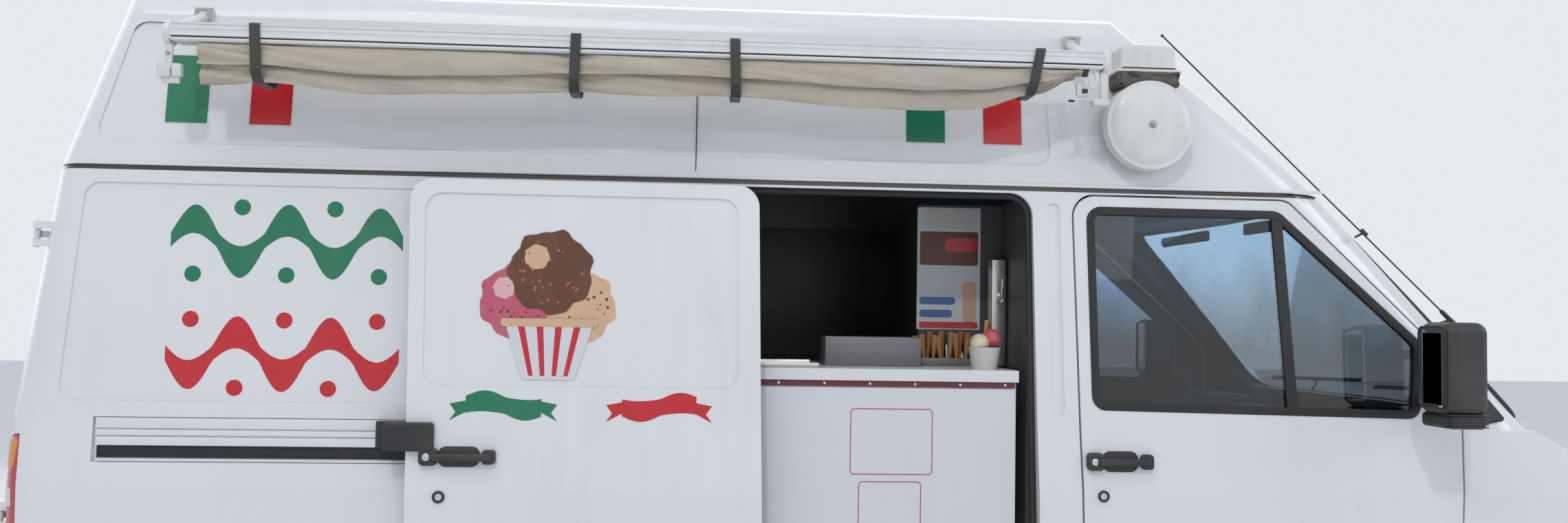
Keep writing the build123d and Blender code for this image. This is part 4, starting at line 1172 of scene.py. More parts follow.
def addWaferCones(top):
    draw = scatter(4)
    xLow, xHigh = ware.coneX
    narrow, wide = ware.coneRadii
    cones = []
    for count in range(ware.cones):
        x = xLow + (xHigh - xLow) * count / (ware.cones - 1)
        y = ware.coneY + ware.coneRow * (count % 2)
        lean = draw.uniform(*ware.coneLean)
        end = (x + lean, y + ware.coneShift, top + draw.uniform(*ware.coneHeight))
        cones.append(addRod((x, y, top + ware.coneFoot), end, narrow, ware.coneSides, wide))
    finishPiece(cones, "waferCones", wafer)


def addPaperTub(top):
    x, y = ware.tub
    tub = addTurned(ware.tubProfile, (x, y, top + ware.lift), (0, 0, 1))
    finishPiece(tub, "paperTub", paperSheet, angle=40)
    rim = Vector((x, y, top + ware.tubHeight))
    for name, shift, radius, seed, finish in ware.scoops:
        addScoop(name, tuple(rim + Vector(shift)), radius, seed, finish)
    start, end = [rim + Vector(shift) for shift in ware.wafer]
    finishPiece(addRod(start, end, ware.waferRadius, 16), "wafer", wafer)


def addSodaColumn(top):
    (xLow, yLow), (xHigh, yHigh), height = ware.column
    parts = [addBlock((xLow, yLow, top + ware.lift), (xHigh, yHigh, top + height), ware.columnEdge, 3)]
    middle = (xLow + xHigh) / 2
    for (startY, startZ), (endY, endZ), radius, sides, bevel in ware.taps:
        start, end = (middle, yLow + startY, top + startZ), (middle, yLow + endY, top + endZ)
        parts.append(addRod(start, end, radius, sides, bevel=bevel))
    finishPiece(parts, "sodaColumn", brightSteel)


def addWare():
    top = hatch.counterTop
    for name, box, wall, finish in ware.boxes:
        addOpenBox(name, box, wall, finish)
    addWaferCones(top)
    addPaperTub(top)
    addSodaColumn(top)


# Bell on the roof side

# Screws and nuts as (start, end, radius, sides, bevel), with start and end measured outward
bell = SimpleNamespace(
    centre=(0.474, -0.991, 2.092),
    dome=((0, 0.0150), (0.040, 0.0142), (0.070, 0.0122), (0.092, 0.0090), (0.107, 0.0048), (0.118, -0.0020),
             (0.1245, -0.0100), (0.1275, -0.0200), (0.1285, -0.0330), (0.1290, -0.0365), (0.1275, -0.0380),
             (0.1255, -0.0365), (0.1240, -0.0220), (0.1180, -0.0110), (0, -0.0110)),
    nut=((0.0140, 0.0165, 0.011475, 28, 0.0006), (0.0160, 0.0225, 0.0085, 6, 0.0012),
            (0.0220, 0.0255, 0.0040, 16, 0.001)),
    lip=((0.382, -0.976, 2.2465), (0.570, -0.880, 2.2545)), lipEdge=0.003,
    cover=((0.390, 2.254), (0.561, 2.254), (0.5474, 2.3255), (0.4036, 2.3255)),
    coverRadii=(0.004, 0.004, 0.022, 0.022), coverDepth=0.100, coverEdge=0.007, coverY=-0.969,
    gasket=((0.384, -0.982, 2.204), (0.562, -0.890, 2.2465)), gasketEdge=0.010, gasketCuts=9,
    wrinkle=26, wrinkleDepth=0.009, fineWrinkle=2.6, fineDepth=0.004,
    screws=((0.402, 2.262), (0.549, 2.262)), screwY=(-0.966, -0.9625), screwRadius=0.0045,
)


# The white cover narrows towards its top
def addBellCover():
    outline = roundCorners(bell.cover, bell.coverRadii)
    piece = addFlat([outline], bell.coverDepth, bell.coverEdge)
    piece.location = (0, bell.coverY, 0)
    finishPiece(piece, "bellCover", bellPaint, angle=45)


def addBellGasket():
    piece = addBlock(*bell.gasket, 0)
    bevelEdges(piece, bell.gasketEdge, 3)
    editMesh(piece, (bpy.ops.mesh.subdivide, {"number_cuts": bell.gasketCuts}))
    for vertex in piece.data.vertices:
        place = vertex.co * bell.wrinkle
        coarse = noise.noise(place) * bell.wrinkleDepth
        fine = noise.noise(place * bell.fineWrinkle) * bell.fineDepth
        vertex.co += vertex.normal * (coarse + fine)
    finishPiece(turnOutward(piece), "bellGasket", agedGasket, angle=50)


def addBellDetail():
    x, y, z = bell.centre
    gong = addTurned(bell.dome, (x, y, z), (0, -1, 0), 96)
    finishPiece(gong, "bellGong", bellPaint, angle=50)
    nut = [addRod((x, y - start, z), (x, y - end, z), radius, sides, bevel=bevel)
           for start, end, radius, sides, bevel in bell.nut]
    finishPiece(nut, "bellNut", agedSteel)
    finishPiece(addBlock(*bell.lip, bell.lipEdge, 3), "bellCoverLip", bellPaint)
    addBellCover()
    addBellGasket()
    inner, outer = bell.screwY
    screws = [addRod((sx, inner, sz), (sx, outer, sz), bell.screwRadius, 16, bevel=0.0008)
              for sx, sz in bell.screws]
    finishPiece(screws, "bellBoxScrews", agedSteel)


# Awning: rail trim, straps and bundled cloth

awning = SimpleNamespace(
    railX=(-2.190, 0.300), frontY=-1.110, backY=-1.050, low=2.222, high=2.272,
    clothX=(-2.119, 0.238), outerY=-1.105, innerY=-0.966, frontLimit=-1.116,
    top=2.2213, topGap=0.004, thick=0.0013,
    edge=((-2.119, 2.112), (-1.950, 2.122), (-1.663, 2.099), (-1.417, 2.108), (-1.140, 2.120),
        (-0.897, 2.116),
             (-0.714, 2.121), (-0.351, 2.100), (-0.192, 2.098), (-0.062, 2.105), (0.110, 2.150), (0.238,
                 2.205)),
    folds=((0.03, 1.0), (0.00, 0.46), (0.17, 0.84), (0.13, 0.0), (0.52, 0.86), (0.56, 0.10), (0.94, 0.62)),
    straps=(-1.969, -1.140, -0.714, 0.110), lean=(-0.06, 0.02, -0.03, 0.20),
    strapWidth=0.027, strapThick=0.0022, strapRadii=(0.006, 0.008, 0.012, 0.014, 0.012, 0.012, 0.02),
    pinchReach=0.055, wideReach=0.16, raggedReach=0.12, raggedShift=0.022, sway=0.11,
    columns=190, rows=76,
)


def clothEdge(x):
    edge = awning.edge
    for low, high in zip(edge, edge[1:]):
        if x <= high[0]:
            share = (x - low[0]) / (high[0] - low[0])
            share = share * share * (3 - 2 * share)
            return low[1] + (high[1] - low[1]) * share
    return edge[-1][1]


# 1 at a place and falling to 0 beyond its reach
def nearness(x, place, reach):
    return 2.718 ** -(((x - place) / reach) ** 2)


def strapNearness(x, reach):
    return min(sum(nearness(x, strap, reach) for strap in awning.straps), 1)


# One point of the folded bundle: x along the rail, share 0 at the cloth's outer end and 1 at its inner.
# The fold table holds (depth, height) at each crease, as shares of the bundle's own depth and height.
def clothPoint(x, share):
    folds = awning.folds
    low, top = clothEdge(x), awning.top - awning.topGap
    pinch = strapNearness(x, awning.pinchReach)
    run = min(share * (len(folds) - 1), len(folds) - 1.001)
    leg = int(run)
    part = run - leg
    depths, heights = [list(pair) for pair in zip(folds[leg], folds[leg + 1])]
    for end in (0, 1):
        if 0 < heights[end] < 1:
            sway = noise.noise(Vector((x * 1.7, leg * 3.1 + 3.1 * end, 0.5)))
            heights[end] += awning.sway * sway * (1 - 0.5 * pinch)
    ease = part * part * (3 - 2 * part)
    height = heights[0] + (heights[1] - heights[0]) * ease
    depth = depths[0] + (depths[1] - depths[0]) * part
    y = awning.outerY + (awning.innerY - 0.020 * pinch - awning.outerY) * depth
    belly = sin(pi * part) * (0.008 - 0.010 * pinch)
    slant = Vector((x * 7 + height * 5, height * 2.4, leg * 2.0))
    ragged = nearness(x, awning.clothX[0], awning.raggedReach)
    wide = min(strapNearness(x, awning.wideReach) + 1.2 * ragged, 1.6)
    crease = noise.noise(slant) * (0.0035 + 0.0075 * wide)
    crease += noise.noise(slant * 2.3) * (0.0018 + 0.0035 * wide)
    z = low + (top - low) * min(max(height, 0), 1)
    z += noise.noise(slant * 1.5) * 0.004 * min(height, 1 - height)
    x += awning.raggedShift * ragged * (1 - height) * (1 - part)
    return Vector((x, max(y - belly + crease, awning.frontLimit), min(z, top)))


def addAwningCloth():
    columns, rows = awning.columns, awning.rows
    bpy.ops.mesh.primitive_grid_add(x_subdivisions=columns, y_subdivisions=rows, size=1)
    piece = applyPlace(bpy.context.object)
    xLow, xHigh = awning.clothX
    uv = piece.data.uv_layers.new(name="UVMap") if not piece.data.uv_layers else piece.data.uv_layers[0]
    shares = [(v.co.x + 0.5, v.co.y + 0.5) for v in piece.data.vertices]
    for loop in piece.data.loops:
        uv.data[loop.index].uv = shares[loop.vertex_index]
    for vertex, (along, share) in zip(piece.data.vertices, shares):
        vertex.co = clothPoint(xLow + (xHigh - xLow) * along, share)
    applyModifier(piece, "SOLIDIFY", thickness=awning.thick, offset=0)
    finishPiece(piece, "awningCloth", awningFabric, angle=70)
    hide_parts("awning_cloth")


# A strap runs around the rail and the bundle, and its end laps over the front
def addStrap(x, lean):
    thick, half = awning.strapThick, awning.strapWidth / 2
    low = clothEdge(x) - 0.001
    front, back = awning.frontY - 0.003, awning.innerY - 0.012
    corners = ((front, awning.high + 0.001), (awning.backY + 0.001, awning.high + 0.001),
               (back, awning.low - 0.014), (back, low + 0.02), (back - 0.03, low), (front + 0.02, low),
               (front - 0.002, low + 0.024))
    loop = roundCorners(corners, awning.strapRadii, 4)
    band = addExtrusion([growOutline(loop, thick), loop], x - half, x + half)
    lapHalf = half * 0.94
    lap = addFlat([rectangle((x - lapHalf, x + lapHalf), (low + 0.030, awning.low + 0.006), 0.002)], thick)
    lap.location = (0, front - 2 * thick - 0.001, 0)
    strap = joinPieces([band, applyPlace(lap)])
    for vertex in strap.data.vertices:
        vertex.co.x += lean * (vertex.co.z - awning.low)
    return strap


def addStraps():
    straps = [addStrap(x, lean) for x, lean in zip(awning.straps, awning.lean)]
    finishPiece(straps, "awningStraps", strapWeb)


arms = SimpleNamespace(
    rear=(
        ((-2.203, -1.098, 2.150), (-2.184, -1.088, 2.216)),
        ((-2.221, -1.101, 2.128), (-2.187, -1.082, 2.166)),
        ((-2.184, -1.100, 2.130), (-2.160, -1.080, 2.164)),
        ((-2.212, -1.094, 2.113), (-2.166, -1.082, 2.131))),
    front=(
        ((0.292, -1.098, 2.126), (0.312, -1.090, 2.216)), ((0.272, -1.100, 2.124), (0.316, -1.066, 2.142)),
        ((0.215, -1.094, 2.137), (0.300, -1.086, 2.143)), ((0.226, -1.096, 2.150), (0.240, -1.084, 2.186))),
    edge=0.002, ring=(0.268, -1.100, 2.197, 0.0095, 0.026, 0.0042), ringSteps=32,
    bolt=((-2.194, -1.102, 2.192), (-2.194, -1.097, 2.192)), boltRadius=0.0052,
    dark=(
        ((0.236, -1.093, 2.158), (0.258, -1.085, 2.170)), ((0.205, -1.092, 2.133), (0.222, -1.084, 2.139)),
        ((0.246, -1.100, 2.206), (0.262, -1.070, 2.222))),
    darkEdge=0.0015, tabs=(-2.186, 0.266), tabY=-0.9115, tabDepth=0.003,
    tab=((-0.0255, 2.3125), (0.0215, 2.3125), (0.0295, 2.3575), (-0.0195, 2.3575)),
    slotX=(-0.012, 0.014), slots=((2.3205, 2.3295), (2.3415, 2.3505)), slotCorner=0.004,
)


# A plate with two slots that holds the rail to the roof
def addTab(x):
    plate = [(x + shift, z) for shift, z in arms.tab]
    slotX = [x + shift for shift in arms.slotX]
    slots = [rectangle(slotX, heights, arms.slotCorner) for heights in arms.slots]
    piece = addFlat([plate] + slots, arms.tabDepth, 0.0004)
    piece.location = (0, arms.tabY, 0)
    return applyPlace(piece)


# Folded support arms at the awning's ends, the winch ring and the tabs
def addRailArms():
    for end, parts in (("Rear", arms.rear), ("Front", arms.front)):
        blocks = [addBlock(low, high, arms.edge) for low, high in parts]
        finishPiece(blocks, f"awningArm{end}", capPlastic)
    darks = [addBlock(low, high, arms.darkEdge) for low, high in arms.dark]
    finishPiece(darks, "awningArmClips", blackTrim)
    bolt = addRod(*arms.bolt, arms.boltRadius, 16, bevel=0.001)
    finishPiece(bolt, "awningArmBolt", agedSteel)
    x, y, z, halfWidth, halfHeight, tube = arms.ring
    turns = [2 * pi * i / arms.ringSteps for i in range(arms.ringSteps)]
    path = [(x + halfWidth * cos(a), y, z + halfHeight * sin(a)) for a in turns]
    finishPiece(addPipe(path, tube, closed=True, sides=2), "awningWinchRing", capPlastic)
    finishPiece(joinPieces([addTab(x) for x in arms.tabs]), "awningTabs", agedSteel)


# Beads as (bottom, height, depth); end caps as (middle in x, way out)
railTrim = SimpleNamespace(
    beads=((2.266, 0.004, 0.0022), (2.254, 0.0022, 0.0014), (2.236, 0.0022, 0.0014),
        (2.225, 0.006, 0.0026)),
    beadX=(-2.186, 0.296), beadBack=-1.107, beadEdge=0.0008,
    slot=((-2.184, -1.1106, 2.2315), (0.294, -1.108, 2.2355)),
    caps=((-2.204, -1), (0.314, 1)), capY=-1.080, capZ=2.246, capSunk=0.0005, capSteps=40,
    capProfile=((0.0335, -0.004), (0.0335, 0), (0.0315, 0.0025), (0.024, 0.0032), (0.0225, 0.0012),
                   (0.012, 0.0012), (0.011, 0.0035), (0, 0.0035), (0, -0.004), (0.0335, -0.004)),
    screw=(0.0025, 0.0040), screwRadius=0.006,
)


def addRailTrim():
    xLow, xHigh = railTrim.beadX
    beads = []
    for z, tall, deep in railTrim.beads:
        low, high = (xLow, awning.frontY - deep, z), (xHigh, railTrim.beadBack, z + tall)
        beads.append(addBlock(low, high, railTrim.beadEdge))
    finishPiece(beads, "awningRailBeads", railPaint)
    finishPiece(addBlock(*railTrim.slot, 0), "awningRailSlot", rubber)
    y, z = railTrim.capY, railTrim.capZ
    caps, screws = [], []
    for x, out in railTrim.caps:
        centre = (x - out * railTrim.capSunk, y, z)
        caps.append(addTurned(railTrim.capProfile, centre, (out, 0, 0), railTrim.capSteps))
        start, end = [(x + out * reach, y, z) for reach in railTrim.screw]
        screws.append(addRod(start, end, railTrim.screwRadius, 6, bevel=0.0008))
    finishPiece(caps, "awningEndCaps", capPlastic)
    finishPiece(screws, "awningEndScrews", agedSteel)


# Mirrors, aerial, wipers and lamps

# Plates as (name, has a hole, depth, place in x, finish)
mirrors = SimpleNamespace(
    glassY=(1.056, 1.170), glassZ=(1.312, 1.528), corner=0.016, frameWidth=0.006, edge=0.0006,
    plates=(("mirrorFrame", True, 0.004, 1.2215, blackTrim),
            ("mirrorGlass", False, 0.002, 1.225, mirrorGlass)),
    ribs=5, ribX=(1.233, 1.342), ribY=(1.1495, 1.183), ribZ=(1.261, 1.293), ribHalf=0.0016, ribEdge=0.0008,
)


def addMirrorRibs(side):
    (xLow, xHigh), (yLow, yHigh), (low, high) = mirrors.ribX, mirrors.ribY, mirrors.ribZ
    half = mirrors.ribHalf
    ribs = []
    for index in range(mirrors.ribs):
        z = low + (high - low) * index / (mirrors.ribs - 1)
        rib = addBlock((xLow, side * yLow, z - half), (xHigh, side * yHigh, z + half), mirrors.ribEdge)
        ribs.append(rib)
    finishPiece(ribs, f"mirrorRibs{sideName(side)}", blackTrim, doorBody(side))


def addMirrorDetail():
    for side in (-1, 1):
        outline = rectangle([side * y for y in mirrors.glassY], mirrors.glassZ, mirrors.corner)
        rim = growOutline(outline, mirrors.frameWidth)
        pieces = []
        for _, hollow, depth, x, _ in mirrors.plates:
            piece = addFlat([rim, outline] if hollow else [outline], depth, mirrors.edge)
            piece.rotation_euler = (0, 0, -pi / 2)
            piece.location = (x, 0, 0)
            pieces.append(turnOutward(applyPlace(piece)))
        for piece, (name, _, _, _, finish) in zip(pieces, mirrors.plates):
            for vertex in piece.data.vertices:
                vertex.co.y = -vertex.co.y
            finishPiece(turnOutward(piece), f"{name}{sideName(side)}", finish, doorBody(side))
        addMirrorRibs(side)


# Pins run from the clip and the base into the body; foot and grip give their ends along the rod
aerial = SimpleNamespace(
    base=(1.417, -0.902, 1.549), clip=(1.145, -0.912, 1.805), tip=(0.541, -0.900, 2.371), radius=0.0024,
    foot=(-0.03, 0.045), footRadii=(0.0085, 0.006), grip=(-0.012, 0.012), gripRadius=0.006,
    clipPin=(-0.01, 0.030, -0.012), clipPinRadius=0.0035,
    basePin=(-0.012, 0.040, -0.012), basePinRadius=0.009, knob=0.0045,
)


def addAerial():
    base, clip, tip = (Vector(place) for place in (aerial.base, aerial.clip, aerial.tip))
    along = (tip - base).normalized()
    footStart, footEnd = [base + along * reach for reach in aerial.foot]
    wide, narrow = aerial.footRadii
    gripStart, gripEnd = [clip + along * reach for reach in aerial.grip]
    parts = [
        addRod(footStart, footEnd, wide, 18, narrow, 0.0015),
        addRod(base, tip, aerial.radius, 10),
        addRod(gripStart, gripEnd, aerial.gripRadius, 14, bevel=0.0012),
        addRod(clip, clip + Vector(aerial.clipPin), aerial.clipPinRadius, 10),
        addRod(base, base + Vector(aerial.basePin), aerial.basePinRadius, 16),
    ]
    bpy.ops.mesh.primitive_uv_sphere_add(segments=16, ring_count=8, radius=aerial.knob, location=tip)
    parts.append(applyPlace(bpy.context.object))
    finishPiece(parts, "aerial", blackTrim)


# Arms as (pivot, start and end of the blade), each (y, z)
wiper = SimpleNamespace(
    arms=(((0.52, 1.252), (0.70, 1.300), (0.08, 1.322)), ((-0.18, 1.252), (0.02, 1.300), (-0.60, 1.322))),
    blade=((0.010, 0.0055), (0.017, 0.0032)), armLift=0.018, armRadius=0.005, bend=(0.010, 0, 0.008),
    pivotRise=0.03, pivotLift=0.045, cap=((-0.03, 0, -0.026), (0.008, 0, 0.008)), capRadius=0.014,
)


def addWipers():
    screen = surfaceOf("windscreen", "cab_frame")
    for index, (pivot, start, end) in enumerate(wiper.arms):
        parts = [addPipe(screenPath(screen, (start, end), lift), radius, sides=2) for lift,
            radius in wiper.blade]
        middle = ((start[0] + end[0]) / 2, (start[1] + end[1]) / 2)
        face = endFace(screen, pivot[0], pivot[1] + wiper.pivotRise, 1)
        elbow = Vector((face + wiper.pivotLift, *pivot))
        tip = Vector(screenPath(screen, (middle, middle), wiper.armLift, 1)[0])
        path = [tuple(elbow), tuple(elbow.lerp(tip, 0.5) + Vector(wiper.bend)), tuple(tip)]
        parts.append(addPipe(path, wiper.armRadius, sides=2))
        low, high = [elbow + Vector(shift) for shift in wiper.cap]
        parts.append(addRod(low, high, wiper.capRadius, 20, bevel=0.003))
        finishPiece(parts, f"wiper{index}", blackTrim)


screenSeal = SimpleNamespace(
    corners=((-0.845, 1.262), (-0.745, 1.905), (0.745, 1.905), (0.845, 1.262)), radius=0.06,
    step=0.05, outward=0.004, lift=0.001, thick=0.011,
)


def addScreenSeal():
    front = surfaceOf("windscreen", "cab_frame", "high_roof", "bonnet")
    outline = roundCorners(screenSeal.corners, (screenSeal.radius,) * 4, 8)
    longer = []
    for first, second in zip(outline, outline[1:] + outline[:1]):
        count = max(1, int((Vector(second) - Vector(first)).length / screenSeal.step))
        longer += [tuple(Vector(first).lerp(Vector(second), i / count)) for i in range(count)]
    path = []
    for across, z in growOutline(longer, screenSeal.outward):
        path.append((endFace(front, across, z, 1) + screenSeal.lift, across, z))
    finishPiece(addPipe(path, screenSeal.thick, closed=True, sides=3), "windscreenSeal", rubber)


# Bowls as (y, z, radius), their profile as shares of the radius; tail segments as (name, z range, finish)
lamps = SimpleNamespace(
    bowls=((0.650, 0.722, 0.064), (0.772, 0.722, 0.040)), depth=0.055, bowlSteps=36,
    bowl=((0, -0.030), (0.30, -0.028), (0.60, -0.020), (0.85, -0.006), (1.0, 0.012), (1.03, 0.012),
             (0.88, -0.010), (0.62, -0.025), (0.30, -0.034), (0, -0.036)),
    bulb=(-0.028, 0.004), bulbRadius=0.011, bulbEdge=0.003,
    tray=((2.290, 0.566, 0.646), (2.335, 0.820, 0.794)), trayEdge=0.006,
    tail=(("amber", (1.092, 1.170), amberLamp), ("clear", (0.990, 1.040), capPlastic)),
    tailY=(0.902, 0.952), tailStep=0.006, tailCorner=0.006, tailDepth=0.003, tailEdge=0.001,
)


def addHeadlamps():
    lenses = surfaceOf("headlamps")
    for side in (-1, 1):
        name = sideName(side)
        parts = []
        for y, z, radius in lamps.bowls:
            x = endFace(lenses, side * (y + radius), z, 1) - lamps.depth
            profile = [(share * radius, height) for share, height in lamps.bowl]
            parts.append(addTurned(profile, (x, side * y, z), (1, 0, 0), lamps.bowlSteps))
            start, end = [(x + reach, side * y, z) for reach in lamps.bulb]
            parts.append(addRod(start, end, lamps.bulbRadius, 16, bevel=lamps.bulbEdge))
        finishPiece(parts, f"headlampBowls{name}", mirrorGlass)
        low, high = [(x, side * y, z) for x, y, z in lamps.tray]
        finishPiece(addBlock(low, high, lamps.trayEdge), f"headlampTray{name}", greySteel)


def addLamps():
    addHeadlamps()
    rear = surfaceOf("tail_lamps")
    for side in (-1, 1):
        for colour, heights, finish in lamps.tail:
            outline = rectangle([side * y for y in lamps.tailY], heights, lamps.tailCorner)
            piece = addFlat([outline], lamps.tailDepth, lamps.tailEdge)
            layOnEnd(piece, rear, -1, 0.0, lamps.tailStep)
            finishPiece(piece, f"{colour}TailSegment{sideName(side)}", finish)


grille = SimpleNamespace(
    core=((2.440, -0.500, 0.610), (2.462, 0.500, 0.825)), coreEdge=0.003,
    bars=15, barX=(2.466, 2.484), barY=(-0.470, 0.470), barZ=(0.630, 0.820), barHalf=0.003,
    foot=((2.458, -0.480, 0.630), (2.470, 0.480, 0.645)), barEdge=0.001,
)


def addGrilleCore():
    finishPiece(addBlock(*grille.core, grille.coreEdge), "radiatorCore", radiatorMesh)
    (xBack, xFront), (yLow, yHigh), (zLow, zHigh) = grille.barX, grille.barY, grille.barZ
    half, edge = grille.barHalf, grille.barEdge
    bars = []
    for index in range(grille.bars):
        y = yLow + (yHigh - yLow) * index / (grille.bars - 1)
        bars.append(addBlock((xBack, y - half, zLow), (xFront, y + half, zHigh), edge))
    bars.append(addBlock(*grille.foot, edge))
    finishPiece(bars, "grilleBars", blackTrim)


# Handle parts as (y range, z range, corner, depth, edge, distance out)
rearDoors = SimpleNamespace(
    sealY=(0.0062, 0.0222), sealZ=(0.585, 1.876), sealCorner=0.002, sealDepth=0.004, sealEdge=0.001,
    cup=((0.075, 0.225), (0.940, 1.030), 0.018, 0.006, 0.0015, -0.0005), cupWidth=0.012,
    grip=((0.093, 0.207), (0.987, 1.013), 0.008, 0.010, 0.003, 0.004),
    floor=((0.086, 0.214), (0.951, 1.019), 0.010, 0.002, 0.0005, 0.0),
    lock=(0.150, 0.910, 0.013), lockDepth=0.004, lockEdge=0.001,
)


def addRearDoorDetail():
    surface = surfaceOf("rear_door_left", "rear_door_right")
    for side in (-1, 1):
        seal = rectangle(sorted(side * y for y in rearDoors.sealY), rearDoors.sealZ, rearDoors.sealCorner)
        body = "rear_door_left" if side > 0 else "rear_door_right"
        endPlate(f"rearDoorSeal{sideName(side)}", [seal], rearDoors.sealDepth, rearDoors.sealEdge, -0.0005,
            rubber,
                 body, surface)
    parts = []
    for part in (rearDoors.cup, rearDoors.grip):
        ys, zs, corner, depth, edge, out = part
        loops = [rectangle(ys, zs, corner)]
        if part is rearDoors.cup:
            loops.append(growOutline(loops[0], -rearDoors.cupWidth))
        parts.append(layOnEnd(addFlat(loops, depth, edge), surface, -1, out))
    finishPiece(parts, "rearDoorHandle", blackTrim, "rear_door_left")
    ys, zs, corner, depth, edge, out = rearDoors.floor
    endPlate("rearDoorHandleCup", [rectangle(ys, zs, corner)], depth, edge, out, rubber, "rear_door_left",
        surface)
    endPlate("rearDoorLock", [disc(*rearDoors.lock)], rearDoors.lockDepth, rearDoors.lockEdge, 0.0,
        brightSteel,
             "rear_door_left", surface)


# Wheels

wheelNames = ("front_left", "front_right", "rear_left", "rear_right")
# Tread rows as (place across, width, lean); each nut as (start, end, share of its radius, sides, edge)
wheels = SimpleNamespace(
    radius=0.340, blocks=72, blockShare=0.78, blockDepth=0.0096, blockEdge=0.0012, twist=0.12,
    top=0.3390, leanDrop=0.55,
    rows=((-0.0700, 0.0280, -0.16), (-0.0362, 0.0260, 0), (0, 0.0300, 0), (0.0362, 0.0260, 0),
        (0.0700, 0.0280, 0.16)),
    wall=((0.1924, 0.0740), (0.1950, 0.0785), (0.2070, 0.0790), (0.2180, 0.0850), (0.2230, 0.0905),
        (0.2262, 0.0905),
             (0.2300, 0.0925), (0.2500, 0.0985), (0.2750, 0.1018), (0.2920, 0.1014), (0.2950,
                 0.1024), (0.2990, 0.1010),
             (0.3120, 0.0965), (0.3230, 0.0905), (0.3300, 0.0835), (0.3318, 0.0760), (0.3322, 0.0)),
    wallSteps=96, nuts=5, nutTurn=0.3, nutCircle=0.058, nutRadius=0.0115, nutBase=0.036,
    nut=((0, 0.024, 1, 6, 0.0015), (0.020, 0.030, 0.6, 18, 0.002)),
    cap=((0, 0.013), (0.014, 0.012), (0.025, 0.009), (0.031, 0.004), (0.033, 0), (0.033, -0.003),
        (0, -0.003)),
    capOut=0.0385, capSteps=36, valve=(0.155, 0.042), valveLength=0.030, valveRadius=0.0042,
)


def addTyreShape():
    wall = wheels.wall
    profile = list(wall) + [(r, -h) for r, h in wall[-2::-1]] + [wall[0]]
    parts = [addTurned(profile, (0, 0, 0), (0, 1, 0), wheels.wallSteps)]
    count = wheels.blocks
    bpy.ops.object.empty_add(location=(0, 0, 0), rotation=(0, 2 * pi / count, 0))
    turner = bpy.context.object
    half = 2 * pi * wheels.radius / count * wheels.blockShare / 2
    for index, (offset, width, lean) in enumerate(wheels.rows):
        low, high = (-half, -width / 2, -wheels.blockDepth), (half, width / 2, 0)
        block = addBlock(low, high, wheels.blockEdge, 1)
        block.rotation_euler = (-lean, 0, wheels.twist if index % 2 else -wheels.twist)
        block.location = (0, offset, wheels.top - wheels.leanDrop * width * abs(sin(lean)))
        applyPlace(block)
        block.rotation_euler = (0, pi / count * (index % 2), 0)
        applyPlace(block)
        applyModifier(block, "ARRAY", count=count, use_relative_offset=False, use_object_offset=True,
                      offset_object=turner)
        parts.append(block)
    bpy.data.objects.remove(turner)
    return joinPieces(parts)


def addWheelTrim(name, centre, side):
    body = f"wheel_{name}"
    outward = Vector((0, side, 0))
    base = centre + outward * wheels.nutBase
    nuts = []
    for index in range(wheels.nuts):
        angle = 2 * pi * index / wheels.nuts + wheels.nutTurn
        place = base + Vector((cos(angle), 0, sin(angle))) * wheels.nutCircle
        for start, end, share, sides, edge in wheels.nut:
            radius = wheels.nutRadius * share
            nuts.append(addRod(place + outward * start, place + outward * end, radius, sides, bevel=edge))
    finishPiece(nuts, f"wheelNuts_{name}", agedSteel, body)
    cap = addTurned(wheels.cap, centre + outward * wheels.capOut, outward, wheels.capSteps)
    finishPiece(cap, f"wheelCap_{name}", blackTrim, body)
    away, out = wheels.valve
    stem = centre + Vector((away, 0, 0)) + outward * out
    valve = addRod(stem, stem + outward * wheels.valveLength, wheels.valveRadius, 12, bevel=0.001)
    finishPiece(valve, f"wheelValve_{name}", rubber, body)


def addWheels():
    shape = addTyreShape()
    for name in wheelNames:
        low, high = nodeBox(f"tyre_{name}")
        centre = (low + high) / 2
        side = 1 if centre.y > 0 else -1
        tyre = copyPiece(shape)
        tyre.location = centre
        finishPiece(tyre, f"tyreTread_{name}", tyreRubber, f"wheel_{name}")
        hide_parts(f"tyre_{name}")
        addWheelTrim(name, centre, side)
    bpy.data.objects.remove(shape)


# Underside

under = SimpleNamespace(
    coil=(0.700, 0.862, 5.5, 0.058, 0.0065), coilSteps=20, axis=(1.873, 0.817, 11.1),
    bolts=(-1.697, 0.5775, 0.340), boltAlong=(-0.036, 0.036), boltHalf=0.043, boltWire=0.006,
    boltEnd=0.262, nut=(0.258, 0.270), nutRadius=0.011,
    plateHalf=0.055, plateZ=(0.268, 0.276), plateEdge=0.002,
    tankStraps=(-0.72, -0.10), tank=((-0.801, -0.469), (0.219, 0.4595), 0.030), strapThick=0.003,
    strapHalf=0.02, silencerBands=(-0.63, -0.37, -0.10), silencer=(0.27, 0.341),
    band=((0.0855, -0.008), (0.0885, -0.006), (0.0885, 0.006), (0.0855, 0.008), (0.0855, -0.008)),
)


def kingpin(z, side):
    x, y, lean = under.axis
    return Vector((x, side * (y - z * tan(radians(lean))), z))


def addCoils():
    low, high, turns, radius, wire = under.coil
    steps = under.coilSteps
    for side in (-1, 1):
        along = (kingpin(high, side) - kingpin(low, side)).normalized()
        first = along.orthogonal().normalized()
        second = along.cross(first)
        path = []
        for step in range(int(turns * steps) + 1):
            angle = 2 * pi * step / steps
            centre = kingpin(low, side).lerp(kingpin(high, side), step / (turns * steps))
            path.append(tuple(centre + first * radius * cos(angle) + second * radius * sin(angle)))
        body = "knuckle_left" if side > 0 else "knuckle_right"
        finishPiece(addPipe(path, wire, sides=2), f"coilSpring{sideName(side)}", chassisPaint, body)


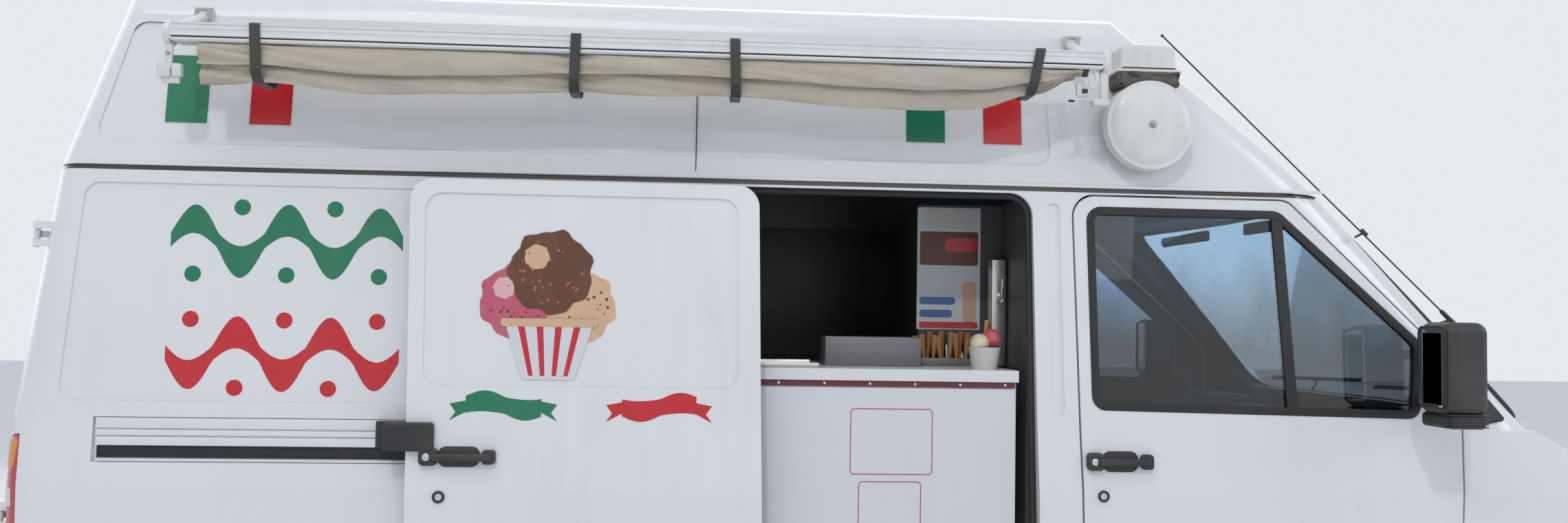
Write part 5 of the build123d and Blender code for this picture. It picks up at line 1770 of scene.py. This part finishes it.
# Two bent bolts over the axle, their nuts and the plate under the spring
def axleBolts(side):
    x, y, z = under.bolts
    y *= side
    half, end = under.boltHalf, under.boltEnd
    parts = []
    for shift in under.boltAlong:
        along = x + shift
        arc = [(along, y + half * cos(a), z + half * sin(a)) for a in (pi * i / 10 for i in range(11))]
        parts.append(addPipe([(along, y + half, end)] + arc + [(along, y - half, end)], under.boltWire,
            sides=1))
        for across in (y - half, y + half):
            bottom, top = [(along, across, height) for height in under.nut]
            parts.append(addRod(bottom, top, under.nutRadius, 6))
    half = under.plateHalf
    zLow, zHigh = under.plateZ
    parts.append(addBlock((x - half, y - half, zLow), (x + half, y + half, zHigh), under.plateEdge))
    return parts


def addUnderside():
    finishPiece(joinPieces(axleBolts(-1) + axleBolts(1)), "axleUBolts", chassisPaint)
    loop = rectangle(*under.tank)
    loops = [growOutline(loop, under.strapThick), loop]
    half = under.strapHalf
    straps = [addExtrusion(loops, at - half, at + half) for at in under.tankStraps]
    finishPiece(straps, "tankStraps", agedSteel)
    bands = [addTurned(under.band, (at, *under.silencer), (1, 0, 0), 40) for at in under.silencerBands]
    finishPiece(bands, "silencerBands", exhaustSteel)


# Cab

# Back and head rest as (thickness, height, middle above the base, rounding), drawn about the back's base
padding = SimpleNamespace(
    seats=(((0.430, 0.190, 0.802), (0.900, 0.640, 0.936)), ((0.430, -0.820, 0.802), (0.900, 0.060, 0.936))),
    cushionRound=0.038, backNarrower=0.026, backBase=(0.440, 0.890), backLean=-12,
    back=(0.104, 0.630, 0.300, 0.032), rest=(0.076, 0.144, 0.690, 0.026), restWidth=0.236,
    padGap=0.006, pipingInset=0.030, pipingDrop=0.006, pipingRadius=0.0035,
    voxel=0.011, pressure=3.2, cap=0.009, steps=20, fill=0.85,
)


def roundedPad(low, high, radius):
    gap = padding.padGap
    piece = addBlock([a + gap for a in low], [b - gap for b in high], 0)
    bevelEdges(piece, radius, 5, 30)
    return piece


# Swells a pad by cloth pressure, with a cap on how far each point may move
def puffUp(piece):
    pick(piece)
    piece.data.remesh_voxel_size = padding.voxel
    bpy.ops.object.voxel_remesh()
    start = [vertex.co.copy() for vertex in piece.data.vertices]
    cloth = piece.modifiers.new("swell", "CLOTH")
    cloth.settings.use_pressure = True
    cloth.settings.uniform_pressure_force = padding.pressure
    cloth.settings.effector_weights.gravity = 0
    for frameNumber in range(1, padding.steps + 1):
        bpy.context.scene.frame_set(frameNumber)
    swollen = piece.evaluated_get(bpy.context.evaluated_depsgraph_get()).data
    moved = [vertex.co.copy() for vertex in swollen.vertices]
    piece.modifiers.remove(cloth)
    for vertex, before, after in zip(piece.data.vertices, start, moved):
        way = after - before
        if way.length > padding.cap:
            way = way.normalized() * padding.cap
        vertex.co = before + way
    bpy.context.scene.frame_set(1)
    return applyModifier(piece, "SUBSURF", levels=1, render_levels=1)


def leaningPad(turn, width, thick, tall, centre, rounding):
    low, high = (-thick / 2, -width / 2, centre - tall / 2), (thick / 2, width / 2, centre + tall / 2)
    piece = roundedPad(low, high, rounding)
    piece.data.transform(turn)
    return puffUp(piece)


def addSeats():
    pads, seams = [], []
    x, z = padding.backBase
    inset = padding.pipingInset
    for low, high in padding.seats:
        pads.append(puffUp(roundedPad(low, high, padding.cushionRound)))
        place = Matrix.Translation((x, (low[1] + high[1]) / 2, z))
        turn = place @ Matrix.Rotation(radians(padding.backLean), 4, "Y")
        pads.append(leaningPad(turn, high[1] - low[1] - padding.backNarrower, *padding.back))
        pads.append(leaningPad(turn, padding.restWidth, *padding.rest))
        line = rectangle((low[0] + inset, high[0] - inset), (low[1] + inset, high[1] - inset), inset)
        path = [(px, py, high[2] - padding.pipingDrop) for px, py in line]
        seams.append(addPipe(path, padding.pipingRadius, closed=True, sides=2))
    seat = finishPiece(pads, "cabSeats", seatFabric, angle=80)
    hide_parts("seats")
    finishPiece(seams, "cabSeatPiping", blackTrim)


dash = SimpleNamespace(
    hood=((1.130, 0.190, 1.205), (1.330, 0.610, 1.262)), hoodEdge=0.025,
    dialY=(0.330, 0.470), dialX=1.131, dialZ=1.225, dialAim=(-1, 0, 0.15), dialSteps=32,
    dial=((0.050, 0), (0.050, 0.006), (0.045, 0.008), (0.043, 0.002), (0, 0.002), (0, 0), (0.050, 0)),
    vents=(-0.66, -0.16, 0.10, 0.73), slats=4, slatX=(1.108, 1.122), slatHalf=0.045, slatZ=1.150,
    slatStep=0.014, slatHeight=0.005, slatEdge=0.001,
    radio=((1.096, -0.03, 1.080), (1.112, 0.15, 1.130)), radioEdge=0.003,
    lever=((1.080, 0.060, 0.930), (1.010, 0.060, 1.050)), leverRadius=0.007, knob=0.024,
    bootStart=(1.110, 0.060, 0.880), bootRadii=(0.05, 0.014), bootEdge=0.004,
    mount=((1.05, -0.02, 0.80), (1.20, 0.14, 0.885)), mountEdge=0.02,
    visor=((1.12, 0.16, 1.845), (1.14, 0.60, 1.885)), visorEdge=0.006,
)


def addDashDetail():
    finishPiece(addBlock(*dash.hood, dash.hoodEdge, 4), "instrumentHood", dashPlastic)
    dials = [addTurned(dash.dial, (dash.dialX, y, dash.dialZ), dash.dialAim,
                       dash.dialSteps) for y in dash.dialY]
    finishPiece(dials, "instrumentDials", blackTrim)
    vents = []
    (xLow, xHigh), half = dash.slatX, dash.slatHalf
    for y in dash.vents:
        for slat in range(dash.slats):
            z = dash.slatZ + dash.slatStep * slat
            low, high = (xLow, y - half, z), (xHigh, y + half, z + dash.slatHeight)
            vents.append(addBlock(low, high, dash.slatEdge))
    finishPiece(vents, "dashVents", blackTrim)
    finishPiece(addBlock(*dash.radio, dash.radioEdge), "radioFrontBlank", rubber)


def addGearLever():
    start, end = dash.lever
    lever = addRod(start, end, dash.leverRadius, 14)
    bpy.ops.mesh.primitive_uv_sphere_add(segments=24, ring_count=14, radius=dash.knob, location=end)
    knob = applyPlace(bpy.context.object)
    wide, narrow = dash.bootRadii
    boot = addRod(dash.bootStart, start, wide, 24, narrow, dash.bootEdge)
    mount = addBlock(*dash.mount, dash.mountEdge, 3)
    finishPiece(joinPieces([lever, knob, boot, mount]), "gearLever", dashPlastic)


def addCabDetail():
    addDashDetail()
    addGearLever()
    low, high = dash.visor
    visors = [addBlock((low[0], side * low[1], low[2]), (high[0], side * high[1], high[2]), dash.visorEdge)
              for side in (-1, 1)]
    finishPiece(visors, "sunVisors", innerPanel)


stages = (
    ("body trim", (addRoofSeams, addDoorRail, addOpeningSeal, addDoorWindowSeals, addHandles)),
    ("film, board and ware", (addFilm, addDoorArt, addBoard, addPoster, addWare)),
    ("bell and awning", (addBellDetail, addAwningCloth, addStraps, addRailTrim, addRailArms)),
    ("mirrors, lamps and rear doors", (
        addMirrorDetail, addAerial, addWipers, addScreenSeal, addLamps, addGrilleCore, addRearDoorDetail)),
    ("wheels and underside", (addWheels, addCoils, addUnderside)),
    ("cab", (addSeats, addCabDetail)),
)


def addAllPieces():
    for name, steps in stages:
        for step in steps:
            step()
        print(name, "added")


dressNodes()
addAllPieces()
addCamera()
addStudio()
print("camera, light and floor placed")
